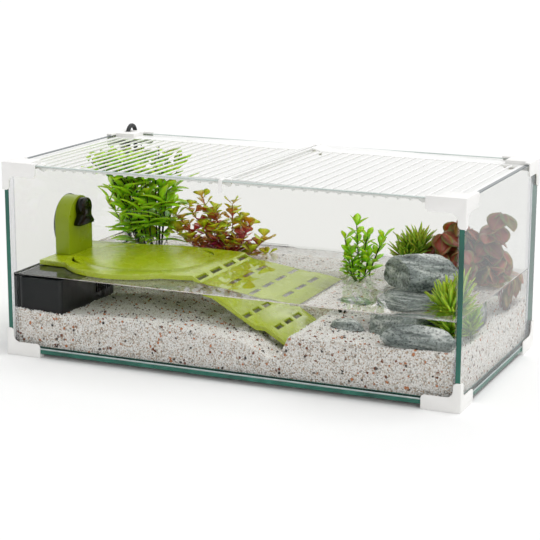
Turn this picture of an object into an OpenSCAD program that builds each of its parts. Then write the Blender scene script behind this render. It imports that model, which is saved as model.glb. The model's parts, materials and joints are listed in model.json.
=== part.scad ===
// Low turtle terrarium: a glued glass tank on eight corner caps, a two-part
// barred cover, a filter box with a basking platform and water spout, gravel,
// stones and artificial plants.
// X runs along the tank, Y from the front pane to the rear, Z up.
// The origin is on the table, under the middle of the tank.

/* [Tank] */
// Length over the corner caps
overall_w = 600; // [560:2:680]
// Depth over the corner caps
overall_d = 313; // [300:1:340]
// Height of the glass rim above the table
rim_h = 244.5; // [230:0.5:280]
// Thickness of every glass pane
glass_t = 6; // [5:0.5:8]
// Width of the silicone joint between two panes
seam = 1.3; // [0.8:0.1:2]
// Radius of the silicone fillet inside each upright corner
bead_r = 3; // [2:0.5:5]

/* [Corner caps] */
// Wall of the moulded corner caps
cap_wall = 2; // [1.6:0.2:3]
// Length of each arm of a cap
cap_arm = 48; // [44:1:60]
// Height of a cap along the corner edge
cap_ear_h = 35; // [30:1:45]
// Width of the ear that stands along the corner edge
cap_ear_w = 10; // [9:1:12]
// Height of the arms
cap_band_h = 17.5; // [15:0.5:22]
// Radius of the hollow between ear and arm
cap_fillet_r = 8; // [5:0.5:10]
// Radius of the rounded ear and arm ends
cap_round_r = 5; // [3:0.5:8]
// Height of the tank's underside above the table
foot_h = 5; // [4:0.5:9]
// Thickness of the plates inside the caps
cap_plate = 2.5; // [2:0.5:3.5]
// Side of the square top plate of an upper cap
cap_square = 36; // [32:1:42]
// Width of the ledge that carries the cover
ledge_w = 7; // [5:0.5:9]

/* [Cover] */
// Height of the cover's upper face above the glass rim
lid_rise = 1.5; // [0.5:0.5:3]
// Gap between the cover and the glass
lid_gap = 1; // [0.6:0.1:2]
// Spacing of the bars
bar_pitch = 14.25; // [12:0.25:18]
// Width of one bar
bar_w = 3.4; // [2.6:0.2:5]
// Depth of one bar
bar_h = 7; // [6:0.5:9]
// Depth of the cover's frame
rail_h = 4.5; // [3.5:0.5:5.5]
// Width of the front rail
rail_w = 5; // [4:0.5:6]
// Width of the end rails
end_rail_w = 7; // [5:0.5:9]
// Depth of the flat band along the rear of the cover
rear_band_w = 32; // [24:1:40]
// Thickness of that band
rear_band_t = 1.6; // [1.2:0.2:2.4]
// Gap between the two halves of the cover
lid_split = 3; // [2.6:0.2:4]
// Distance of each hinge axis from the middle
hinge_x = 5.5; // [5.4:0.1:6.5]
// Depth of the hinge axis below the cover's upper face
hinge_drop = 3.2; // [3:0.1:3.4]
// Radius of the hinge pins
pin_r = 1.5; // [1.2:0.1:1.8]
// Radial clearance of the hinge pins
pin_fit = 0.08; // [0.05:0.01:0.1]

/* [Filter box] */
// Outer width of the filter box
box_w = 62; // [58:1:72]
// Outer length of the filter box
box_l = 195; // [180:1:215]
// Height of the filter box
box_h = 87; // [80:1:92]
// Wall of the filter box
box_wall = 2; // [1.6:0.2:3]
// Corner radius of the filter box
box_r = 6; // [4:0.5:10]
// Gap between the filter box and the left pane
box_gap = 1.5; // [1:0.5:3]
// Distance of the filter box from the front pane
box_front = 13.5; // [10:0.5:20]

/* [Pump] */
// Width of the pump
pump_w = 40; // [36:1:46]
// Length of the pump
pump_l = 50; // [46:1:54]
// Height of the pump
pump_h = 45; // [42:1:50]
// Outer radius of the pump's outlet
outlet_r = 5.5; // [5:0.1:6]
// Wall of the outlet and of the riser
tube_wall = 1.2; // [1:0.1:1.6]
// Radial clearance of parts that plug together
plug_fit = 0.08; // [0.05:0.01:0.1]
// Radius of the impeller
impeller_r = 10; // [8:0.5:12]

/* [Platform] */
// Height of the platform's deck above the table
deck_z = 110; // [106:1:114]
// Thickness of the deck and the ramp
deck_t = 3; // [2.4:0.2:4]
// Depth of the rim under the deck's edge
rim_drop = 6; // [5:0.5:7]
// Half length of the oval groove
oval_a = 88; // [80:1:92]
// Half width of the oval groove
oval_b = 76; // [68:1:80]
// Width of the ramp
ramp_w = 152; // [140:1:160]
// Length of one ramp slot
slot_l = 28; // [22:1:32]
// Width of one ramp slot
slot_w = 6; // [4:0.5:8]
// Spacing of the slots across the ramp
slot_pitch = 40; // [36:1:44]

/* [Tower] */
// Width of the spout tower
tower_w = 60; // [56:1:66]
// Depth of the spout tower
tower_t = 21; // [19:0.5:24]
// Height of the spout tower above the deck
tower_h = 74.5; // [70:0.5:84]
// Wall of the spout tower
tower_wall = 2; // [1.6:0.2:2.6]
// Radius of the round end of the spout opening
spout_open_r = 10; // [9.5:0.5:12]
// Radius of the spout's domed back
spout_r = 13.5; // [12:0.5:15]
// Width of the spout's lip
lip_w = 38; // [30:1:42]
// Length of the spout from its axis to the lip
spout_drop = 22; // [20:1:26]
// Radius of the suction cup
cup_r = 37; // [32:1:38]

/* [Cable] */
// Diameter of the cable
cable_d = 6; // [5:0.5:6.5]
// Radial spacing of the turns in the coil
coil_pitch = 7; // [7:0.25:8.5]
// Radius of the first turn of the coil
coil_r = 40; // [38:1:44]

/* [Landscape] */
// Height of the gravel on the left above the table
gravel_left = 60; // [56:1:64]
// Height of the gravel on the right above the table
gravel_right = 64.5; // [60:0.5:70]
// Gap left round whatever stands in the gravel
bed_gap = 0.3; // [0.2:0.1:0.5]
// Radius of the weighted plant feet
foot_r = 14; // [10:1:16]
// Thickness of the plant feet
foot_t = 4; // [3:0.5:5]
// Thickness of the leaves
leaf_t = 0.8; // [0.6:0.1:1.2]
// Radius of the leafy plants' stems
stem_r = 1.1; // [0.9:0.1:1.4]
// Height of the green bush
bush_h = 160; // [140:1:166]
// Length of the green bush's leaves
bush_leaf = 24; // [18:1:28]
// Height of the red plant
red_h = 104; // [90:1:116]
// Length of the red plant's leaves
red_leaf = 20; // [16:1:24]
// Height of the small lime plant
lime_h = 92; // [80:1:104]
// Length of the small lime plant's leaves
lime_leaf = 19; // [15:1:23]
// Height of the fan plant's stalk
fan_h = 72; // [60:1:84]
// Length of the fan plant's blades
fan_blade = 38; // [30:1:44]
// Height of the round-leaved plant
begonia_h = 118; // [104:1:128]
// Length of its leaves
begonia_leaf = 34; // [28:1:38]
// Height of the grass tuft
grass_h = 58; // [46:1:66]
// Height of the stone that carries the top one, above the gravel
middle_h = 35.5; // [30:0.5:40]
// Height of the top stone
top_h = 47; // [40:1:56]
// Height of the front stone
front_h = 32; // [26:1:38]
// Height of the small slab
small_h = 13; // [10:1:16]

/* [Hidden] */

$fn = 48;
eps = 0.01;

// Glass planes: outer faces, inner faces and levels
gx = overall_w / 2 - cap_wall;
gy = overall_d / 2 - cap_wall;
ix = gx - glass_t;
iy = gy - glass_t;
base_top = foot_h + glass_t;
pane_z = base_top + seam;
cap_top = rim_h + cap_plate;

// Cover levels and edges
lid_top = rim_h + lid_rise;
rail_z = lid_top - rail_h;
bar_z = lid_top - bar_h;
lid_x = ix - lid_gap;
lid_y = iy - lid_gap;
// Inner edge of an upper cap's square, and of the notch in the cover round it
square_x = overall_w / 2 - cap_square;
square_y = overall_d / 2 - cap_square;
notch_x = square_x - lid_gap;
notch_y = square_y - lid_gap;
hinge_z = lid_top - hinge_drop;
knuckle_r = pin_r + pin_fit + 1.4;
clip_t = rail_w;
knuckle_y = lid_y - clip_t - 0.3;
knuckle_l = 5;
inner_rail_x = lid_split / 2 + bar_w / 2;
// Half width of a centre clip, and where the cover's rails may start beside it
// so that they swing clear of it
clip_half = 2 * hinge_x - 0.5;
rail_start = hinge_x + norm([clip_half - hinge_x, hinge_drop]) + 0.4;
bar_count = floor((lid_x - end_rail_w - inner_rail_x - bar_w) / bar_pitch);

// Filter box
box_x0 = -ix + box_gap;
box_x1 = box_x0 + box_w;
box_y0 = -iy + box_front;
box_y1 = box_y0 + box_l;
box_top = base_top + box_h;

// Tower, riser and spout
tower_x0 = -ix + 2.8;
tower_x1 = tower_x0 + tower_t;
tower_y = -21;
tower_r = tower_w / 2;
tower_top = deck_z + tower_h;
spout_z = tower_top - 15.5;
riser_r = outlet_r + plug_fit + tube_wall;
riser_x = (tower_x0 + tower_x1) / 2;

// Pump
pump_x0 = box_x0 + box_wall + 1;
pump_x1 = pump_x0 + pump_w;
pump_y1 = 5;
pump_y0 = pump_y1 - pump_l;
pump_z0 = base_top + box_wall + 0.3;
pump_z1 = pump_z0 + pump_h;
pump_cx = (pump_x0 + pump_x1) / 2;
impeller_z = pump_z0 + 22;
impeller_l = 26;
gland_l = 20;
gland_x = pump_cx + 5.5;
gland_z = pump_z0 + 38;

// Platform
oval_x = -175;
oval_y = -19.5;
ramp_y = -14;
crease_x = -70;
ramp_t = deck_t;
// Upper line of the ramp seen from the side: a slope, a step, a long slope,
// a second step and the foot
ramp_line = [[crease_x, deck_z], [-45, deck_z - 14], [-34, deck_z - 16],
    [24, deck_z - 49], [36, deck_z - 49], [70, deck_z - 69]];

// Depth of the lips down the ramp's sides
ramp_lip = rim_drop - 0.5;

// Gravel surface seen from the front, level across the tank
ramp_foot = ramp_line[5];
foot_bed = ramp_foot[1] - ramp_lip - bed_gap;
gravel_line = [[-ix, gravel_left], [box_x1, gravel_left - 6],
    [-180, gravel_left - 1], [-60, gravel_left - 2],
    [ramp_foot[0] - 46, deck_z - 60], [ramp_foot[0] - 12, foot_bed],
    [ramp_foot[0] + 2, foot_bed], [84, gravel_right], [ix, gravel_right]];

// Stones: centre and half sizes, stacked from the gravel up
middle_c = [ix - 88, -28];
middle_s = [56, 72];
middle_top = gravel_right + middle_h;
top_c = [ix - 98, 2];
top_s = [56, 40];
front_c = [ix - 54, -iy + 23.5];
front_s = [51, 21.5];
small_c = [ix - 156, -62];
small_s = [26, 18];

// Plants: where each foot stands
bush_at = [-ix + 66, iy - 42];
red_at = [-112, iy - 41];
lime_at = [ix - 192, 36];
fan_at = [ix - 125, iy - 64.5];
begonia_at = [ix - 58, iy - 58];
grass_at = [ix - 24, -70];

// Cable route from the pump to the coil, and from the coil to the plug
cable_pts = [
    [-262, 25.2, 51.3], [-262, 31, 51.3], [-262, 37.5, 53.2], [-262, 43.5, 57.2],
    [-262, 48.5, 63.5], [-262, 53, 71.5], [-262, 57.5, 79], [-262, 63, 86],
    [-262, 71, 90.5], [-262.5, 81, 92], [-264, 92, 92.3], [-267, 103, 92.8],
    [-271, 114, 94.5], [-275.5, 124, 99], [-279.5, 132, 106], [-282.5, 138, 116],
    [-284.5, 141.5, 130], [-285, 142.5, 150], [-285, 142.5, 190], [-285, 142.5, 225],
    [-285, 142.5, 243.5], [-285, 143.9, 248.7], [-285, 147.8, 252.6], [-285, 153, 254],
    [-285, 158.2, 252.6], [-285, 162.1, 248.7], [-285, 163.5, 243.5], [-285, 164, 225],
    [-285, 164, 160], [-285, 164, 100], [-284.5, 164, 60], [-283, 164.5, 38],
    [-278, 165.5, 21], [-268, 166.5, 9], [-254, 167.5, 3.6], [-236, 168, 3],
    [-200, 168, 3], [-160, 168, 3], [-126.2, 168, 3]];
coil_c = [-120, 208];
coil_turns = 4;
coil_step = 6.6;
tail_pts = [[-113.8, 171.5, 9.6], [-108, 171.5, 9.6], [-92, 172, 6.5],
    [-74, 175, 3.2], [-52, 182, 3], [-30, 189, 3], [-8, 192, 4.5],
    [6, 192, 7.2], [14, 192, 8], [19.8, 192, 8]];
plug_at = [20, 192, 8];

white = "#f1f0ed";
glass_tint = [0.62, 0.8, 0.76, 0.35];
lime = "#a4bf12";
black = "#1d2022";
slate = "#7f8a86";

// Shared shapes

// Straight interpolation along a list of [x, z] points
function level_at(line, x, i = 0) =
    i >= len(line) - 2 || x <= line[i + 1][0]
        ? line[i][1] + (line[i + 1][1] - line[i][1])
            * (x - line[i][0]) / (line[i + 1][0] - line[i][0])
        : level_at(line, x, i + 1);

function unit(v) = v / norm(v);

function ellipse_pts(a, b, n = 72, from = 0, to = 360) =
    [for (i = [0 : n]) let (t = from + (to - from) * i / n)
        [a * cos(t), b * sin(t)]];

module box(x0, x1, y0, y1, z0, z1)
    translate([x0, y0, z0]) cube([x1 - x0, y1 - y0, z1 - z0]);

// Rectangle with round corners, built from squares and circles
module round_rect(x0, x1, y0, y1, r) {
    translate([x0 + r, y0]) square([x1 - x0 - 2 * r, y1 - y0]);
    translate([x0, y0 + r]) square([x1 - x0, y1 - y0 - 2 * r]);
    for (x = [x0 + r, x1 - r], y = [y0 + r, y1 - r])
        translate([x, y]) circle(r);
}

// Carries a ring's first direction along the route, so that the tube never twists
function frames(pts, i = 0, u = undef) =
    i == len(pts) ? [] :
    let (a = pts[max(i - 1, 0)], b = pts[min(i + 1, len(pts) - 1)],
        t = unit(b - a),
        seed = u == undef ? (abs(t[2]) > 0.9 ? [1, 0, 0] : [0, 0, 1]) : u,
        n = unit(seed - (seed * t) * t))
    concat([[n, cross(t, n)]], frames(pts, i + 1, n));

module tube(pts, r, n) {
    f = frames(pts);
    c = len(pts);
    points = [for (i = [0 : c - 1], k = [0 : n - 1]) let (q = 360 * (k + 0.5) / n)
        pts[i] + r * (cos(q) * f[i][0] + sin(q) * f[i][1])];
    ends = [[for (k = [1 : n - 2]) [0, k, k + 1]],
        [for (k = [1 : n - 2]) [(c - 1) * n, (c - 1) * n + k + 1, (c - 1) * n + k]]];
    sides = [for (i = [0 : c - 2], k = [0 : n - 1]) let (m = (k + 1) % n)
        each [[i * n + k, (i + 1) * n + k, (i + 1) * n + m],
            [i * n + k, (i + 1) * n + m, i * n + m]]];
    polyhedron(points, concat(ends[0], ends[1], sides), convexity = 8);
}

// Catmull-Rom point between p1 and p2
function spline(p0, p1, p2, p3, t) =
    0.5 * ((2 * p1) + (p2 - p0) * t + (2 * p0 - 5 * p1 + 4 * p2 - p3) * t * t
        + (3 * p1 - p0 - 3 * p2 + p3) * t * t * t);

// Smooth route through hand-chosen points, with n steps between two of them
function smooth(pts, n) =
    concat([for (i = [0 : len(pts) - 2], k = [0 : n - 1])
        let (p0 = pts[max(i - 1, 0)], p3 = pts[min(i + 2, len(pts) - 1)])
        spline(p0, pts[i], pts[i + 1], p3, k / n)], [pts[len(pts) - 1]]);

// Tank

module base_glass() color(glass_tint)
    box(-gx, gx, -gy, gy, foot_h, base_top);

module front_glass() color(glass_tint)
    box(-ix + seam, ix - seam, -gy, -iy, pane_z, rim_h);

module rear_glass() color(glass_tint)
    box(-ix + seam, ix - seam, iy, gy, pane_z, rim_h);

module left_glass() color(glass_tint)
    box(-gx, -ix, -gy, gy, pane_z, rim_h);

module right_glass() color(glass_tint)
    box(ix, gx, -gy, gy, pane_z, rim_h);

// Silicone bed between the base pane and the four upright panes
module base_seam() color([0.9, 0.92, 0.93, 0.8])
    translate([0, 0, base_top]) linear_extrude(seam) difference() {
        square([2 * gx, 2 * gy], center = true);
        square([2 * ix, 2 * iy], center = true);
    }

// Upright joints: a strip between two panes with a hollow fillet inside
module corner_seams() color([0.9, 0.92, 0.93, 0.8])
    for (sx = [-1, 1], sy = [-1, 1])
        translate([0, 0, pane_z]) linear_extrude(rim_h - pane_z - 2)
            mirror([sx > 0 ? 0 : 1, 0]) mirror([0, sy > 0 ? 0 : 1])
                corner_seam_outline();

module corner_seam_outline() {
    translate([ix - seam, iy]) square([seam, glass_t]);
    difference() {
        translate([ix - seam - bead_r, iy - seam - bead_r])
            square([seam + bead_r, seam + bead_r]);
        translate([ix - seam - bead_r, iy - seam - bead_r]) circle(bead_r);
    }
}

// Corner caps

// Outline of one side of a cap: a tall ear at the corner, a hollow fillet
// and a low arm with a round end
module cap_outline() {
    difference() {
        union() {
            square([cap_arm, cap_band_h]);
            square([cap_ear_w, cap_ear_h]);
            translate([cap_ear_w, cap_band_h]) square(cap_fillet_r);
        }
        translate([cap_ear_w + cap_fillet_r, cap_band_h + cap_fillet_r])
            circle(cap_fillet_r);
        round_off([cap_arm, cap_band_h], cap_round_r);
        round_off([cap_ear_w, cap_ear_h], cap_round_r);
    }
}

// Cuts an upper right corner to a radius
module round_off(at, r)
    difference() {
        translate([at[0] - r, at[1] - r]) square(r + 1);
        translate([at[0] - r, at[1] - r]) circle(r);
    }

// Both outer walls of a cap, its corner at the origin and its arms along +X and +Y
module cap_walls() {
    rotate([90, 0, 0]) translate([0, 0, -cap_wall])
        linear_extrude(cap_wall) cap_outline();
    rotate([90, 0, 90]) linear_extrude(cap_wall) cap_outline();
}

// Lower cap: walls, a cut-off corner plate under the glass and feet ribs
module foot_cap() {
    cut = cap_wall + glass_t + 4;
    cap_walls();
    translate([0, 0, foot_h - cap_plate]) linear_extrude(cap_plate)
        polygon([[0, 0], [cap_arm, 0], [cap_arm, cut], [cut, cap_arm], [0, cap_arm]]);
    linear_extrude(foot_h - cap_plate) {
        difference() {
            polygon([[0, 0], [cap_arm, 0], [cap_arm, cut], [cut, cap_arm], [0, cap_arm]]);
            polygon([[cap_wall, cap_wall], [cap_arm - cap_wall, cap_wall],
                [cap_arm - cap_wall, cut - cap_wall / 2],
                [cut - cap_wall / 2, cap_arm - cap_wall],
                [cap_wall, cap_arm - cap_wall]]);
        }
        rotate(45) translate([cap_wall, -cap_wall / 2])
            square([(cap_arm + cut) / sqrt(2) - 2 * cap_wall, cap_wall]);
    }
}

// Upper cap, drawn upside down with its roof at z = 0: walls, a square roof
// plate over the glass corner, a drop wall and the ledge that carries the cover
module rim_cap() {
    ledge_z = cap_top - rail_z;
    inner = cap_square;
    difference() {
        union() {
            cap_walls();
            cube([inner, inner, cap_plate]);
            // lips over the rest of each arm, down to the glass face
            cube([cap_arm, cap_wall + glass_t, cap_plate]);
            cube([cap_wall + glass_t, cap_arm, cap_plate]);
            difference() {
                translate([cap_wall + glass_t, cap_wall + glass_t, 0])
                    cube([inner - cap_wall - glass_t, inner - cap_wall - glass_t,
                        ledge_z + cap_plate]);
                translate([cap_wall + glass_t - 1, cap_wall + glass_t - 1, cap_plate])
                    cube([inner - glass_t - 2 * cap_wall + 1,
                        inner - glass_t - 2 * cap_wall + 1, ledge_z + cap_plate]);
            }
            // ledge under the cover's frame, one strip along each side
            translate([inner - cap_wall, cap_wall + glass_t + lid_gap, ledge_z])
                cube([ledge_w + cap_wall, inner - cap_wall - glass_t - lid_gap, cap_plate]);
            translate([cap_wall + glass_t + lid_gap, inner - cap_wall, ledge_z])
                cube([inner - cap_wall - glass_t - lid_gap, ledge_w + cap_wall, cap_plate]);
        }
        translate([cap_wall, cap_wall, cap_plate])
            cube([cap_arm, glass_t, cap_ear_h]);
        translate([cap_wall, cap_wall, cap_plate])
            cube([glass_t, cap_arm, cap_ear_h]);
    }
}

// Places a cap at one corner of the tank; sx and sy are -1 or 1
module at_corner(sx, sy)
    mirror([sx > 0 ? 1 : 0, 0, 0]) mirror([0, sy > 0 ? 1 : 0, 0])
        translate([-overall_w / 2, -overall_d / 2, 0]) children();

module foot_cap_at(sx, sy) color(white) at_corner(sx, sy) foot_cap();

module rim_cap_at(sx, sy) color(white)
    difference() {
        at_corner(sx, sy) translate([0, 0, cap_top]) mirror([0, 0, 1]) rim_cap();
        if (sx < 0 && sy > 0) cable_slot();
    }

// Round-ended hole in the roof plate that lets the cable out of the tank
module cable_slot() {
    x = -ix + 7;
    r = cable_d / 2 + 1.5;
    translate([x, iy - 6, rim_h - eps]) cylinder(r = r, h = 2 * cap_plate);
    box(x - r, x + r, iy - 6, iy, rim_h - eps, cap_top + cap_plate);
}

// Cover

// One bar of the grille with its underside rounded across
module bar(x, y0, y1)
    translate([x, y0, 0]) rotate([-90, 0, 0]) linear_extrude(y1 - y0) {
        translate([-bar_w / 2, -lid_top]) square([bar_w, bar_h - bar_w / 2]);
        translate([0, -bar_z - bar_w / 2]) circle(bar_w / 2);
    }

// Left half of the cover: bars between a frame with notched corners, a flat
// band along the rear, hinge eyes at the middle and two locating tabs
module cover_half() {
    edge = -lid_split / 2;
    difference() {
        union() {
            // frame
            box(-notch_x, -rail_start, -lid_y, -lid_y + rail_w, rail_z, lid_top);
            box(-notch_x, -rail_start, lid_y - rail_w, lid_y, rail_z, lid_top);
            box(-lid_x, -lid_x + end_rail_w, -notch_y, notch_y, rail_z, lid_top);
            for (s = [-1, 1]) {
                box(-lid_x, -notch_x + rail_w, min(s * notch_y, s * (notch_y - rail_w)),
                    max(s * notch_y, s * (notch_y - rail_w)), rail_z, lid_top);
                box(-notch_x, -notch_x + rail_w, min(s * lid_y, s * (notch_y - rail_w)),
                    max(s * lid_y, s * (notch_y - rail_w)), rail_z, lid_top);
                // cross piece behind each hinge eye
                box(-rail_start - rail_w, edge,
                    min(s * knuckle_y, s * (knuckle_y - knuckle_l)),
                    max(s * knuckle_y, s * (knuckle_y - knuckle_l)), rail_z, lid_top);
                box(-rail_start - rail_w, -rail_start,
                    min(s * lid_y, s * (knuckle_y - knuckle_l)),
                    max(s * lid_y, s * (knuckle_y - knuckle_l)), rail_z, lid_top);
                translate([-hinge_x, s * (knuckle_y - knuckle_l / 2), hinge_z])
                    rotate([90, 0, 0]) cylinder(r = knuckle_r, h = knuckle_l, center = true);
            }
            // rear band
            box(-notch_x, -rail_start, lid_y - rear_band_w, lid_y,
                lid_top - rear_band_t, lid_top);
            box(-rail_start - 1, edge, lid_y - rear_band_w, knuckle_y,
                lid_top - rear_band_t, lid_top);
            // bars, shorter beside the notches
            bar(-inner_rail_x, -knuckle_y, knuckle_y);
            for (i = [1 : bar_count]) {
                x = -inner_rail_x - i * bar_pitch;
                y = x - bar_w / 2 < -notch_x + rail_w ? notch_y : lid_y;
                bar(x, -y, y);
            }
            // locating tab inside the front pane
            translate([-notch_x + 16, -lid_y + rail_w / 2, 0]) locating_tab();
            // thumb block at the free end
            box(-notch_x + 1, -notch_x + 11, notch_y - rail_w - 4, notch_y + 5,
                lid_top, lid_top + 1);
        }
        // room for the ledges of the corner caps
        for (s = [-1, 1]) ledge_room(s);
        // pin holes
        translate([-hinge_x, 0, hinge_z]) rotate([90, 0, 0])
            cylinder(r = pin_r + pin_fit, h = 2 * knuckle_y + 2, center = true);
    }
}

// Space that a cap's ledge takes under the frame, with the cover's gap round it
module ledge_room(s) {
    x0 = -lid_x - 1;
    x1 = -square_x + ledge_w + lid_gap;
    y0 = square_y - ledge_w - lid_gap;
    box(x0, x1, min(s * y0, s * (lid_y + 1)), max(s * y0, s * (lid_y + 1)),
        rail_z - 2 * cap_plate - 1, rail_z);
}

// V-shaped tab that hangs just inside the front pane
module locating_tab()
    rotate([90, 0, 0]) linear_extrude(2, center = true)
        polygon([[-5, rail_z], [6, rail_z], [6, rail_z - 1.5], [1, rail_z - 5], [-5, rail_z - 1]]);

module cover_left() color(white) cover_half();

// The right half is the same cover seen in a mirror
module cover_right() color(white) mirror([1, 0, 0]) cover_half();

// Clip over the middle of a rim: an outer tongue, a bridge over the glass, a
// block inside it with a barb, and the hinge pins of both halves of the cover
module centre_clip() color(white) {
    tongue_w = 4.3;
    outer = gy + 1.6;
    // tongue and bridge
    box(-tongue_w / 2, tongue_w / 2, gy, outer, rim_h - 14, lid_top);
    box(-tongue_w / 2, tongue_w / 2, iy - 0.3, outer, rim_h, lid_top);
    // inner block
    box(-clip_half, clip_half, knuckle_y + 0.3, iy - 0.3, hinge_z - pin_r - 0.7, lid_top);
    translate([0, (knuckle_y + iy) / 2, 0]) rotate([90, 0, 0])
        linear_extrude(iy - knuckle_y - 0.6, center = true)
            polygon([[-clip_half, rail_z], [clip_half, rail_z],
                [hinge_x + 2.5, rail_z - 4.5], [hinge_x, rail_z - 4], [1, rail_z - 1.5],
                [-clip_half, rail_z - 1.5]]);
    // pins
    for (x = [-hinge_x, hinge_x])
        translate([x, knuckle_y + 0.3 + eps, hinge_z]) rotate([90, 0, 0])
            cylinder(r = pin_r, h = knuckle_l);
}

module rear_centre_clip() centre_clip();
module front_centre_clip() mirror([0, 1, 0]) centre_clip();

// Filter

// Open-topped box with suction slots in the wall that faces the tank, a notch
// for the cable and guides for the divider
module filter_box() color(black)
    translate([0, 0, base_top]) difference() {
        linear_extrude(box_h) round_rect(box_x0, box_x1, box_y0, box_y1, box_r);
        translate([0, 0, box_wall]) linear_extrude(box_h)
            round_rect(box_x0 + box_wall, box_x1 - box_wall,
                box_y0 + box_wall, box_y1 - box_wall, box_r - box_wall);
        for (i = [0 : 6])
            box(box_x1 - box_wall - 1, box_x1 + 1, box_y1 - 70 + 8 * i,
                box_y1 - 66 + 8 * i, box_h - 34, box_h - 12);
        // cable notch in the rear wall
        box(gland_x - cable_d / 2 - 1.5, gland_x + cable_d / 2 + 1.5,
            box_y1 - box_wall - 1, box_y1 + 1, box_h - 26, box_h + 1);
    }

divider_y = pump_y0 - 8;

// Slotted wall between the sponge and the pump
module filter_divider() color(black)
    difference() {
        box(box_x0 + box_wall + 0.2, box_x1 - box_wall - 0.2, divider_y, divider_y + 2,
            base_top + box_wall, box_top - 6);
        for (i = [0 : 5], k = [0 : 1])
            box(box_x0 + box_wall + 6 + 8 * i, box_x0 + box_wall + 10 + 8 * i,
                divider_y - 1, divider_y + 3, base_top + 12 + 34 * k, base_top + 38 + 34 * k);
    }

// Block of open foam that fills the front chamber
module filter_sponge() color("#2b3f52")
    box(box_x0 + box_wall + 1, box_x1 - box_wall - 1, box_y0 + box_wall + box_r / 2,
        divider_y - 0.5, base_top + box_wall + 0.3, box_top - 12);

// Pump: a block with a rotor well, a round inlet and the outlet spigot
module pump_housing() color("#15181a")
    difference() {
        union() {
            translate([0, 0, pump_z0]) linear_extrude(pump_h)
                round_rect(pump_x0, pump_x1, pump_y0, pump_y1, 5);
            translate([riser_x, tower_y, pump_z1 - eps])
                cylinder(r = outlet_r, h = 14);
            // cooling ribs on the upper face
            for (i = [0 : 4])
                box(pump_cx + 1, pump_x1 - 3, pump_y0 + 6 + 8 * i, pump_y0 + 8 + 8 * i,
                    pump_z1 - eps, pump_z1 + 1.5);
        }
        // outlet bore down into the rotor well
        translate([riser_x, tower_y, impeller_z])
            cylinder(r = outlet_r - tube_wall, h = pump_h);
        // rotor well, open to the front
        translate([pump_cx, pump_y0 - 1, impeller_z]) rotate([-90, 0, 0])
            cylinder(r = impeller_r + 1.2, h = impeller_l + 8);
    }

// Round grille in front of the rotor well
module pump_intake_cover() color(black)
    difference() {
        translate([pump_cx, pump_y0, impeller_z]) rotate([90, 0, 0])
            cylinder(r = impeller_r + 5, h = 4);
        translate([pump_cx, pump_y0 + 1, impeller_z]) rotate([90, 0, 0])
            cylinder(r = impeller_r + 1, h = 3);
        for (i = [-2 : 2])
            translate([pump_cx + i * 4.4 - 1.1, pump_y0 - 5, impeller_z - 8])
                cube([2.2, 6, 16]);
    }

// Ceramic shaft that the rotor turns on
module impeller_shaft() color("#d9d6cf")
    translate([pump_cx, pump_y0 + impeller_l + 7, impeller_z]) rotate([90, 0, 0])
        cylinder(r = 1.2, h = impeller_l + 7 + 2);

// Rotor: a magnet sleeve with four vanes
module impeller() color("#30343a")
    translate([pump_cx, pump_y0 + 2, impeller_z]) rotate([-90, 0, 0])
        difference() {
            union() {
                translate([0, 0, 8]) cylinder(r = impeller_r - 2, h = impeller_l - 8);
                cylinder(r = 3.2, h = 9);
                for (a = [0 : 90 : 270]) rotate(a)
                    translate([0, -0.75, 0]) cube([impeller_r - 0.5, 1.5, 9]);
            }
            translate([0, 0, -1]) cylinder(r = 1.2 + pin_fit, h = impeller_l + 2);
        }

// Riser from the pump's outlet up the tower, ending in a level spigot
module riser_pipe() color(black)
    difference() {
        union() {
            translate([riser_x, tower_y, pump_z1 + 2])
                cylinder(r = riser_r, h = spout_z - pump_z1 - 2);
            translate([riser_x, tower_y, spout_z]) sphere(riser_r);
            translate([riser_x, tower_y, spout_z]) rotate([0, 90, 0])
                cylinder(r = outlet_r, h = tower_x1 + 3 - riser_x);
        }
        translate([riser_x, tower_y, pump_z1 + 1])
            cylinder(r = outlet_r + plug_fit, h = spout_z - pump_z1 - 1);
        translate([riser_x, tower_y, spout_z]) rotate([0, 90, 0])
            cylinder(r = outlet_r - tube_wall, h = tower_t);
    }

// Duck-bill spout: a domed back round the socket, a neck and a flared lip
module spout() color(black)
    translate([0, tower_y, spout_z]) difference() {
        union() {
            translate([tower_x1 + 0.5, 0, 0]) rotate([90, 0, 90])
                linear_extrude(9.5) spout_outline(0);
            translate([tower_x1 - 3, 0, 0]) rotate([0, 90, 0])
                cylinder(r = outlet_r + plug_fit + tube_wall, h = 5);
        }
        // water way from the socket down to the lip
        translate([tower_x1 + 2.5, 0, 0]) rotate([90, 0, 90])
            linear_extrude(5.5) spout_outline(2);
        translate([tower_x1 - 5, 0, 0]) rotate([0, 90, 0])
            cylinder(r = outlet_r + plug_fit, h = 9);
    }

// Front view of the spout, drawn in by a wall; the water way runs out at the lip
module spout_outline(in) {
    circle(spout_r - in);
    polygon([[-spout_r * 0.86 + in, -6], [-spout_r * 0.8 + in, -9],
        [-lip_w / 2 + in, -spout_drop + 3], [-lip_w / 2 + in + 1, -spout_drop - in],
        [lip_w / 2 - in - 1, -spout_drop - in], [lip_w / 2 - in, -spout_drop + 3],
        [spout_r * 0.8 - in, -9], [spout_r * 0.86 - in, -6], [spout_r * 0.7 - in, 0],
        [-spout_r * 0.7 + in, 0]]);
}

// Platform

deck_edge_x = -ix + 2;
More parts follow.
